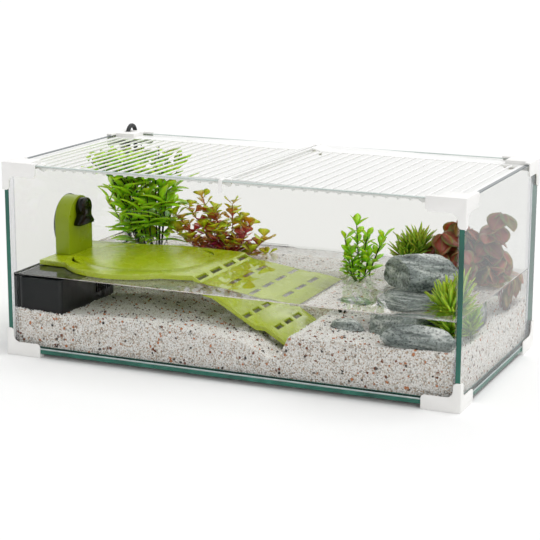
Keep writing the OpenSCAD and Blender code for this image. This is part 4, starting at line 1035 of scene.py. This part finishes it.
def split_off(place, centre, splits):
    """Presses a point back to the planes along which the stone has split."""
    for nx, ny, nz, reach in splits:
        normal = Vector((nx, ny, nz)).normalized()
        excess = (place - centre).dot(normal) - reach * MM
        if excess > 0:
            place = place - normal * excess * SPLIT_SHARE
    return place


def stone(node, seed, turn, splits):
    """A drawn lump with a remeshed skin that is split and broken along the slate's bedding."""
    source = placed("tool", welded(node))
    remesh = source.modifiers.new("skin", "REMESH")
    remesh.mode = "VOXEL"
    remesh.voxel_size = VOXEL_MM * MM
    mesh = finished(source)
    low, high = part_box(node)
    centre = (low + high) / 2
    for vert in mesh.vertices:
        vert.co = split_off(vert.co, centre, splits)
    mesh.update()
    bedding_turn = (Matrix.Rotation(math.radians(turn), 3, "Z")
                    @ Matrix.Rotation(BEDDING_TILT, 3, "X"))
    normals = [vert.normal.copy() for vert in mesh.vertices]
    for vert, normal in zip(mesh.vertices, normals):
        place = bedding_turn @ vert.co / MM
        layers = Vector([c / size for c, size in zip(place, LAYERS_MM)])
        ridge = 1 - 2 * abs(noise.noise(layers + Vector((seed * 7, 0, 0))))
        rough = noise.fractal(place / ROUGH_MM, ROUGHNESS, FINER, OCTAVES)
        bulk = noise.noise(place / BULK_MM + Vector((0, 0, seed * 5)))
        push = (RIDGE_PUSH * ridge + ROUGH_PUSH * rough + BULK_PUSH * bulk - INWARD) * MM
        free = min(1, max(0, (vert.co.z - low.z) / (SEATED_MM * MM)))
        vert.co += normal * push * (SEATED_SHARE + (1 - SEATED_SHARE) * free)
    return keep_piece(f"{node}_slate", smoothed(mesh, 60), "tank", slate, nodes=[node],
                      slot="slate")


STONES = {
    "stone_middle": (1, 20, [(-0.5, -0.8, 0.4, 44), (0.7, -0.6, 0.3, 46), (-0.9, 0.2, 0.5, 44)]),
    "stone_top": (2, -35, [(-0.6, -0.76, 0.02, 28), (0.36, -0.72, 0.55, 26),
                           (0.9, 0.1, 0.35, 44), (-0.1, 0.3, 1, 21)]),
    "stone_front": (3, 25, [(-0.6, -0.6, 0.5, 34), (0.5, -0.8, 0.5, 28), (0.1, 0.1, 1, 13.5)]),
    "stone_small": (4, 10, [(0.2, -0.6, 0.8, 11)])}
for node, (seed, turn, splits) in STONES.items():
    print(node, len(stone(node, seed, turn, splits).data.polygons), "faces")

# %% [markdown]
# The plants are moulded polyethylene: leaves in whorls that are pushed on dark stems, each stem
# rooted in a weighted foot under the gravel. One leaf is made for each kind of plant, as a thin
# closed lens with a fold along its midrib. Its outline is a list of half widths from its base
# to its tip, and each of its corners knows how far along and how far across the leaf it is.

# %% Plants: one leaf
LEAF_THICK = 0.025


def leaf_object(name, outline, fold, droop):
    """A unit leaf along +X: outline is half widths from base to tip, as a share of its length."""
    bm = bmesh.new()
    along = bm.verts.layers.float.new("along")
    across = bm.verts.layers.float.new("across")
    columns = []
    for k, width in enumerate(outline):
        t = k / (len(outline) - 1)
        sag = -droop * t * t
        columns.append([])
        for y, z, side in ((-width, fold * width, 1), (0, 0, 0), (width, fold * width, 1),
                           (0, -LEAF_THICK, 0)):
            vert = bm.verts.new((t, y, sag + z))
            vert[along] = t
            vert[across] = side
            columns[-1].append(vert)
    for a, b in zip(columns, columns[1:]):
        for i, j in ((0, 1), (1, 2), (2, 3), (3, 0)):
            bm.faces.new([a[i], b[i], b[j], a[j]])
    bm.faces.new(columns[0])
    bm.faces.new(columns[-1][::-1])
    bmesh.ops.recalc_face_normals(bm, faces=bm.faces)
    mesh = mesh_of(bm, name)
    mesh.polygons.foreach_set("use_smooth", [True] * len(mesh.polygons))
    return placed(name, mesh)


BLADES = {
    "lance": ([0.03, 0.1, 0.16, 0.165, 0.11, 0.01], 0.3, 0.25),
    "fan": ([0.04, 0.06, 0.12, 0.3, 0.52, 0.56, 0.3], 0.2, 0.1),
    "oval": ([0.03, 0.1, 0.22, 0.27, 0.2, 0.03], 0.25, 0.12),
    "round": ([0.2, 0.42, 0.52, 0.54, 0.47, 0.32, 0.05], 0.12, 0.16),
    "needle": ([0.02, 0.07, 0.09, 0.075, 0.045, 0.005], 0.5, 0.05)}
blades = {name: leaf_object(name, *shape) for name, shape in BLADES.items()}
print("kinds of leaves:", *blades)

# %% [markdown]
# A Geometry Nodes tree sets a leaf on each point of a mesh. The points carry a turn, a size and
# a tone of colour as attributes, which are worked out below. The tree then joins the leaves
# with the stems, and gives each its own material.

# %% Plants: a tree that sets leaves on points
planting = bpy.data.node_groups.new("leaves_on_stems", "GeometryNodeTree")
socket(planting, "Geometry", "NodeSocketGeometry")
PLANT_INPUTS = {name: socket(planting, name, kind).identifier for name, kind in (
    ("Leaf", "NodeSocketObject"), ("Stems", "NodeSocketObject"),
    ("Leaf material", "NodeSocketMaterial"), ("Stem material", "NodeSocketMaterial"))}
socket(planting, "Geometry", "NodeSocketGeometry", "OUTPUT")
start = add(planting, "NodeGroupInput").outputs
leaf_info = add(planting, "GeometryNodeObjectInfo", {
    "Object": start["Leaf"], "As Instance": True})
stem_info = add(planting, "GeometryNodeObjectInfo", {"Object": start["Stems"]})
turn = add(planting, "GeometryNodeInputNamedAttribute", {"Name": "turn"},
           data_type="FLOAT_VECTOR")
size = add(planting, "GeometryNodeInputNamedAttribute", {"Name": "size"}, data_type="FLOAT")
rotate = add(planting, "FunctionNodeEulerToRotation", {"Euler": turn.outputs["Attribute"]})
dots = add(planting, "GeometryNodeMeshToPoints", {"Mesh": start["Geometry"]})
leaves = add(planting, "GeometryNodeInstanceOnPoints", {
    "Points": dots.outputs["Points"], "Instance": leaf_info.outputs["Geometry"],
    "Rotation": rotate.outputs["Rotation"], "Scale": size.outputs["Attribute"]})
real = add(planting, "GeometryNodeRealizeInstances", {"Geometry": leaves.outputs["Instances"]})
green = add(planting, "GeometryNodeSetMaterial", {
    "Geometry": real.outputs["Geometry"], "Material": start["Leaf material"]})
brown = add(planting, "GeometryNodeSetMaterial", {
    "Geometry": stem_info.outputs["Geometry"], "Material": start["Stem material"]})
joined = add(planting, "GeometryNodeJoinGeometry", {"Geometry": green.outputs["Geometry"]})
planting.links.new(brown.outputs["Geometry"], joined.inputs["Geometry"])
add(planting, "NodeGroupOutput", {"Geometry": joined.outputs["Geometry"]})
print("nodes in", planting.name + ":", len(planting.nodes))

# %% [markdown]
# A leaf is moulded in one colour and then tinted: from its base to its tip, along its margin
# and on its midrib. Old leaves low on the stem and young ones at its top differ too. The thin
# plastic lets a little light through, which the subsurface weight stands for.

# %% Plants: the look of leaves and stems
def leaf_material(name, low, high, edge, rib):
    """Moulded polyethylene leaf, dull with a faint grain.

    low and high are the colours at its base and its tip, each as stops from the oldest leaves
    to the youngest; edge is its margin and rib its midrib."""
    material, tree, shader = new_material(name, {
        "Roughness": 0.38, "IOR": 1.5, "Subsurface Weight": 0.35, "Subsurface Scale": 0.003})
    along, across, tone = (add(tree, "ShaderNodeAttribute", attribute_name=key).outputs["Fac"]
                           for key in ("along", "across", "tone"))
    at_base, at_tip, at_edge, at_rib = (
        add(tree, "ShaderNodeValToRGB", {"Fac": factor}, stops=stops).outputs["Color"]
        for factor, stops in ((tone, low), (tone, high),
                              (across, [(0.6, "#000000"), (1.0, "#c0c0c0")]),
                              (across, [(0.0, "#a0a0a0"), (0.12, "#000000")])))
    body = add(tree, "ShaderNodeMix", {0: along, 6: at_base, 7: at_tip}, data_type="RGBA")
    margin = add(tree, "ShaderNodeMix", {0: at_edge, 6: body.outputs[2], 7: linear(edge)},
                 data_type="RGBA")
    ribbed = add(tree, "ShaderNodeMix", {0: at_rib, 6: margin.outputs[2], 7: linear(rib)},
                 data_type="RGBA")
    surface(tree, shader, ribbed.outputs[2], grain(tree, 2.2), 0.1)
    return material


def stem_material(name, dark, light):
    """Moulded stem, with faint clouds and a slightly rough skin."""
    return mottled(name, {"Roughness": 0.45}, [(0.3, dark), (0.7, light)], {"size_mm": 6},
                   {"size_mm": 1.5}, 0.08)[0]


dark_stem = stem_material("moulded_dark_stem", "#1b2413", "#2c3a1c")
red_stem = stem_material("moulded_red_stem", "#8e2444", "#b23a52")
green_stem = stem_material("moulded_green_stem", "#3f6a14", "#5c8a1e")

# Lance leaves: fresh green, lighter at the tips and on the rib.
bush_green = leaf_material(
    "moulded_green_polyethylene", [(0.2, "#5cae0a"), (0.5, "#94da12"), (1, "#b8f01e")],
    [(0.2, "#90da10"), (0.5, "#c2f622"), (1, "#dcff4c")], "#acdf20", "#c8ee50")
# Fans: magenta low on the stem, through rust to lime at its top.
red_lime = leaf_material(
    "moulded_red_polyethylene", [(0.3, "#a8186a"), (0.6, "#c02a5c"), (0.74, "#c8602c"),
                                 (0.88, "#b4d018")],
    [(0.38, "#b82068"), (0.6, "#cc3e4c"), (0.7, "#d8b820"), (0.78, "#dcf028")],
    "#c8b42a", "#c8543c")
# Oval leaves: bright lime with pale tips.
bright_lime = leaf_material(
    "moulded_lime_polyethylene", [(0, "#3f9c08"), (0.5, "#6cc80a"), (1, "#96e410")],
    [(0, "#8fe808"), (1, "#c6fc2e")], "#a6f01c", "#ccfa60")
# Needles: dark green that ends in pale points.
needle_green = leaf_material(
    "moulded_needle_polyethylene", [(0, "#1f5410"), (1, "#357c18")],
    [(0, "#4a9018"), (1, "#c0e440")], "#357c1a", "#63b028")
# Round leaves: brown and brick red, with green margins.
bronze = leaf_material(
    "moulded_bronze_polyethylene", [(0.7, "#6f4226"), (0.85, "#9c402c"), (1, "#5c7830")],
    [(0.7, "#80382a"), (0.85, "#a84c38"), (1, "#786432")], "#6fb04e", "#8ca040")
# Grass: yellow-green, palest at its tips.
grass_green = leaf_material(
    "moulded_grass_polyethylene", [(0, "#3f8014"), (1, "#63a81c")],
    [(0, "#93c828"), (1, "#c3e63c")], "#74b022", "#a0d03c")
leaf_colours = (bush_green, red_lime, bright_lime, needle_green, bronze, grass_green)
print("leaf materials:", len(leaf_colours))

# %% [markdown]
# A leaf may not stick out of the tank, nor stand where the platform passes as it is lifted out.
# So each leaf's tip is tested. The places that the lifted deck, ramp and tower pass are boxes:
# from one x to another, as far back as a y and as high as a z. A stem rises steeply from its
# root and then leans out to its tip.

# %% Plants: room and stems
LEAF_GAP, UNDER_COVER = 1.5 * MM, 0.2375
TANK_ROOM = (inner_x - LEAF_GAP, inner_y - LEAF_GAP, UNDER_COVER)
LIFTED = {"deck": (-inner_x, -0.080, 0.067, 0.167), "ramp": (-0.088, 0.080, 0.064, 0.167),
          "tower": (-inner_x, -0.262, 0.014, 0.236)}
STEM_KNEE, STEM_BOW, STEM_STEPS = 0.45, 0.12, 10


def has_room(tip):
    """True where a leaf's tip is inside the glass and clear of the platform as it is lifted."""
    if abs(tip.x) > TANK_ROOM[0] or abs(tip.y) > TANK_ROOM[1] or tip.z > TANK_ROOM[2]:
        return False
    return not any(from_x < tip.x < to_x and tip.y < behind and tip.z < above
                   for from_x, to_x, behind, above in LIFTED.values())


def stem_line(root, tip):
    """A stem that rises steeply and then leans out to its tip."""
    root, tip = Vector(root), Vector(tip)
    knee = root.lerp(tip, STEM_KNEE) + Vector((0, 0, STEM_BOW * (tip - root).length))
    return [((1 - t) ** 2 * root + 2 * t * (1 - t) * knee + t * t * tip) * MM
            for t in (k / STEM_STEPS for k in range(STEM_STEPS + 1))]


print("places that the lifted platform passes:", *LIFTED)

# %% [markdown]
# Leaves follow each other up a stem in whorls. rise is how far they point up, in degrees, at the
# foot of the stem and at its tip, and first is the share of the stem that stays bare. No real
# leaf sits quite straight, so each angle and length is varied at random from a fixed seed. A
# leaf that has no room is shortened, and left out where that doesn't help.

# %% Plants: the leaves of a stem
LEAST_LEAF, SHORTER = 0.5, 0.9


def leaves_on(line, chance, whorls, each, size_mm, rise, first, taper, wobble=14):
    """The leaves of one stem that have room: a place, a turn, a size and a tone for each."""
    leaves = []
    for k in range(whorls):
        t = first + (1 - first) * k / max(whorls - 1, 1)
        spot = t * (len(line) - 1)
        at = min(int(spot), len(line) - 2)
        place = line[at].lerp(line[at + 1], spot - at)
        begin = chance.uniform(0, 6.28)
        for i in range(each):
            lift = math.radians(rise[0] + (rise[1] - rise[0]) * t
                                + chance.uniform(-wobble, wobble))
            roll = math.radians(chance.uniform(-25, 25))
            heading = begin + A_TURN * i / each + chance.uniform(-0.3, 0.3)
            length = size_mm * MM * (1 - taper * t) * chance.uniform(0.8, 1.15)
            tone = 0.7 * t + chance.uniform(0, 0.3)
            aim = Vector((math.cos(lift) * math.cos(heading),
                          math.cos(lift) * math.sin(heading), math.sin(lift)))
            while length > LEAST_LEAF * size_mm * MM and not has_room(place + aim * length):
                length *= SHORTER
            if has_room(place + aim * length):
                leaves.append((place, (roll, -lift, heading), length, tone))
    return leaves


print("a leaf of 20 mm is left out below", 20 * LEAST_LEAF, "mm")

# %% [markdown]
# A plant grows from its list of stems. Its leaves become points with attributes, its stems
# become tubes, and the tree above joins the two into one plain mesh, which stands for the
# drawn plant.

# %% Plants: growing one
def leaf_points(leaves):
    """A mesh with one point for each leaf, which carries its turn, its size and its tone."""
    places, turns, sizes, tones = zip(*leaves)
    mesh = bpy.data.meshes.new("points")
    mesh.from_pydata(places, [], [])
    for name, kind, key, values in (
            ("turn", "FLOAT_VECTOR", "vector", [angle for turn in turns for angle in turn]),
            ("size", "FLOAT", "value", sizes), ("tone", "FLOAT", "value", tones)):
        mesh.attributes.new(name, kind, "POINT").data.foreach_set(key, values)
    return mesh


def grow(node, blade, stems, materials, slot, seed, stem_mm=1.1, **habit):
    """Grows a plant over its weighted foot. habit is what leaves_on needs to know."""
    chance = random.Random(seed)
    stem_lines = [stem_line(root, tip) for root, tip in stems]
    leaves = [leaf for line in stem_lines for leaf in leaves_on(line, chance, **habit)]
    holder = placed("points", leaf_points(leaves))
    curve = tubes("stems", stem_lines, stem_mm * MM, sides=1, taper=0.45)
    stem_object = placed("stems", smoothed(finished(curve), 60))
    modifier = holder.modifiers.new("leaves", "NODES")
    modifier.node_group = planting
    for name, value in (("Leaf", blades[blade]), ("Stems", stem_object),
                        ("Leaf material", materials[0]), ("Stem material", materials[1])):
        modifier[PLANT_INPUTS[name]] = value
    grown = finished(holder)
    bpy.data.objects.remove(stem_object)
    keep_piece(f"{node}_leaves", grown, "tank", nodes=[node], slot=slot)
    print(node, len(leaves), "leaves", len(grown.polygons), "faces")


# %% [markdown]
# The six plants differ in their numbers only: a dense green bush of lance leaves behind the
# platform, a low red one whose tips go lime, a small bush with oval leaves, a fan of needles,
# a bronze one with drooping round leaves, and a tuft of grass. Each is a list of where its
# stems root and where their tips are. The tips were placed so that each plant fills the room
# that it fills in the photograph.

# %% Plants: the six
grow("plant_bush", "lance", [
    ((-230, 104, 46), (-274, 90, 218)), ((-232, 108, 46), (-274, 68, 216)),
    ((-230, 110, 46), (-258, 112, 231)), ((-226, 108, 46), (-240, 88, 229)),
    ((-222, 110, 46), (-222, 114, 232)), ((-222, 106, 46), (-212, 84, 224)),
    ((-220, 108, 46), (-204, 106, 218)), ((-228, 104, 46), (-252, 66, 212)),
    ((-262, 84, 172), (-284, 30, 222)), ((-250, 82, 172), (-266, 34, 228)),
    ((-240, 84, 174), (-238, 44, 222)),
    ((-224, 102, 46), (-222, 74, 190)), ((-232, 112, 46), (-276, 122, 226)),
    ((-220, 104, 46), (-204, 88, 180)), ((-232, 104, 46), (-278, 84, 176)),
    ((-228, 100, 46), (-278, 62, 214)), ((-222, 114, 46), (-232, 134, 232)),
    ((-230, 104, 46), (-260, 78, 164)), ((-218, 104, 46), (-196, 92, 198)),
    ((-226, 114, 46), (-262, 138, 230)), ((-218, 112, 46), (-198, 130, 222)),
    ((-226, 104, 46), (-240, 64, 214)), ((-232, 106, 46), (-282, 80, 158))],
     whorls=5, each=3, size_mm=44, rise=(0, 55), first=0.42, seed=11,
     materials=(bush_green, dark_stem), slot="green_leaf", taper=0.15)
grow("plant_red", "fan", [
    ((-112, 107, 52), (-168, 98, 156)), ((-118, 112, 52), (-152, 108, 168)),
    ((-108, 112, 52), (-130, 96, 156)), ((-106, 104, 52), (-106, 104, 164)),
    ((-114, 100, 52), (-78, 98, 138)), ((-110, 98, 52), (-88, 86, 116)),
    ((-108, 108, 52), (-58, 102, 120)), ((-116, 104, 52), (-190, 104, 142)),
    ((-112, 110, 52), (-142, 88, 130)), ((-110, 104, 52), (-120, 82, 134)),
    ((-108, 110, 52), (-94, 112, 142)), ((-114, 106, 52), (-162, 84, 118)),
    ((-112, 102, 52), (-104, 84, 114)), ((-116, 110, 52), (-186, 96, 120)),
    ((-112, 106, 52), (-136, 104, 146)), ((-108, 104, 52), (-52, 96, 100)),
    ((-110, 106, 52), (-70, 88, 104)), ((-112, 104, 52), (-112, 90, 126))],
     whorls=8, each=3, size_mm=13, rise=(5, 40), first=0.32, seed=12,
     materials=(red_lime, red_stem), slot="red_leaf", taper=-0.2, stem_mm=0.8, wobble=25)
grow("plant_lime", "oval", [
    ((100, 36, 58), (84, 34, 146)), ((104, 38, 58), (98, 38, 164)),
    ((98, 32, 58), (112, 40, 150)), ((102, 40, 58), (134, 36, 150)),
    ((98, 38, 58), (80, 42, 122)), ((104, 32, 58), (118, 30, 126)),
    ((100, 38, 58), (96, 26, 128))],
     whorls=5, each=3, size_mm=20, rise=(10, 55), first=0.5, seed=13,
     materials=(bright_lime, dark_stem), slot="lime_leaf", taper=0.1)
grow("plant_fan", "needle", [
    ((167, 84, 58), (156, 80, 128)), ((168, 86, 58), (166, 82, 134)),
    ((165, 82, 58), (148, 78, 118))],
     whorls=5, each=11, size_mm=32, rise=(-60, 60), first=0.86, seed=14,
     materials=(needle_green, green_stem), slot="green_leaf", stem_mm=2.0, taper=0.05)
grow("plant_begonia", "round", [
    ((234, 90, 58), (200, 72, 156)), ((238, 94, 58), (212, 92, 168)),
    ((230, 92, 58), (186, 86, 140)), ((236, 86, 58), (226, 66, 136)),
    ((240, 90, 58), (254, 92, 156)), ((234, 96, 58), (266, 112, 180)),
    ((230, 88, 58), (206, 66, 132)), ((238, 98, 58), (244, 118, 148)),
    ((242, 92, 58), (270, 98, 134)), ((236, 90, 58), (240, 72, 120)),
    ((232, 96, 58), (252, 120, 116)), ((240, 94, 58), (272, 116, 104)),
    ((238, 88, 58), (262, 66, 120)), ((240, 92, 58), (274, 84, 108)),
    ((234, 92, 58), (222, 84, 122)), ((236, 94, 58), (192, 96, 130)),
    ((240, 94, 58), (266, 78, 90)), ((238, 96, 58), (262, 98, 94)),
    ((238, 90, 58), (244, 84, 134)), ((236, 96, 58), (226, 104, 158))],
     whorls=2, each=4, size_mm=25, rise=(-62, -42), first=0.86, seed=15,
     materials=(bronze, red_stem), slot="bronze_leaf", taper=0.0, wobble=28)
grow("plant_grass", "needle", [
    ((268, -70, 60), (254, -72, 100)), ((270, -68, 60), (268, -64, 110)),
    ((266, -72, 60), (246, -60, 96)), ((269, -72, 60), (262, -84, 94))],
     whorls=4, each=14, size_mm=38, rise=(5, 75), first=0.25, seed=16,
     materials=(grass_green, green_stem), slot="green_leaf", taper=0.1)
for tool in blades.values():
    bpy.data.objects.remove(tool)

# %% [markdown]
# A product photograph is taken on white. The world gives even light from everywhere, at which a
# colour shows nearly as it is written. Three broad, distant lamps model the shapes: a key from
# above, one from behind that comes in through the rear pane, and one from the front right. What
# the camera sees behind the glass, directly or in a mirror, is plain white.

# %% Light and world
WORLD_LEVEL = 0.52


def seen_directly(tree):
    """1 for rays from the camera, in mirrors and through glass, 0 for those that light things."""
    light = add(tree, "ShaderNodeLightPath").outputs
    seen = add(tree, "ShaderNodeMath", {0: light["Is Camera Ray"], 1: light["Is Glossy Ray"]},
               operation="MAXIMUM")
    return add(tree, "ShaderNodeMath", {0: seen.outputs[0], 1: light["Is Transmission Ray"]},
               operation="MAXIMUM").outputs[0]


world = bpy.data.worlds.new("studio")
world.use_nodes = True
scene.world = world
tree = world.node_tree
tree.nodes.clear()
strength = add(tree, "ShaderNodeMapRange", {
    "Value": seen_directly(tree), "To Min": WORLD_LEVEL, "To Max": 1.0})
sky = add(tree, "ShaderNodeBackground", {
    "Color": (1, 1, 1, 1), "Strength": strength.outputs["Result"]})
add(tree, "ShaderNodeOutputWorld", {"Surface": sky.outputs[0]})


def softbox(name, strength, spread_degrees, towards):
    """A broad, distant lamp that stands in a given direction."""
    lamp = placed(name, bpy.data.lights.new(name, "SUN"))
    lamp.data.energy = strength
    lamp.data.angle = math.radians(spread_degrees)
    lamp.matrix_world = Vector(towards).to_track_quat("Z", "Y").to_matrix().to_4x4()


softbox("key_light", 1.25, 28, (0.5, 0.25, 1.3))
softbox("back_light", 0.5, 50, (-0.25, 0.9, 0.75))
softbox("front_light", 0.5, 20, (0.8, -0.7, 0.4))

# %% [markdown]
# The table is a large sheet of matt white paper. It has no gloss at all, so that it stays white
# up to its edge and holds nothing but the shadow of the tank.

# %% Floor
FLOOR_REACH = 8
floor_mesh = bpy.data.meshes.new("floor")
floor_mesh.from_pydata([(x * FLOOR_REACH, y * FLOOR_REACH, 0) for x, y in
                        ((-1, -1), (1, -1), (1, 1), (-1, 1))], [], [(0, 1, 2, 3)])
floor = placed("floor", floor_mesh)
paper = new_material("white_paper", {
    "Base Color": linear("#ffffff"), "Roughness": 0.9, "Specular IOR Level": 0.0})[0]
floor_mesh.materials.append(paper)
print("the floor reaches", FLOOR_REACH, "m each way")
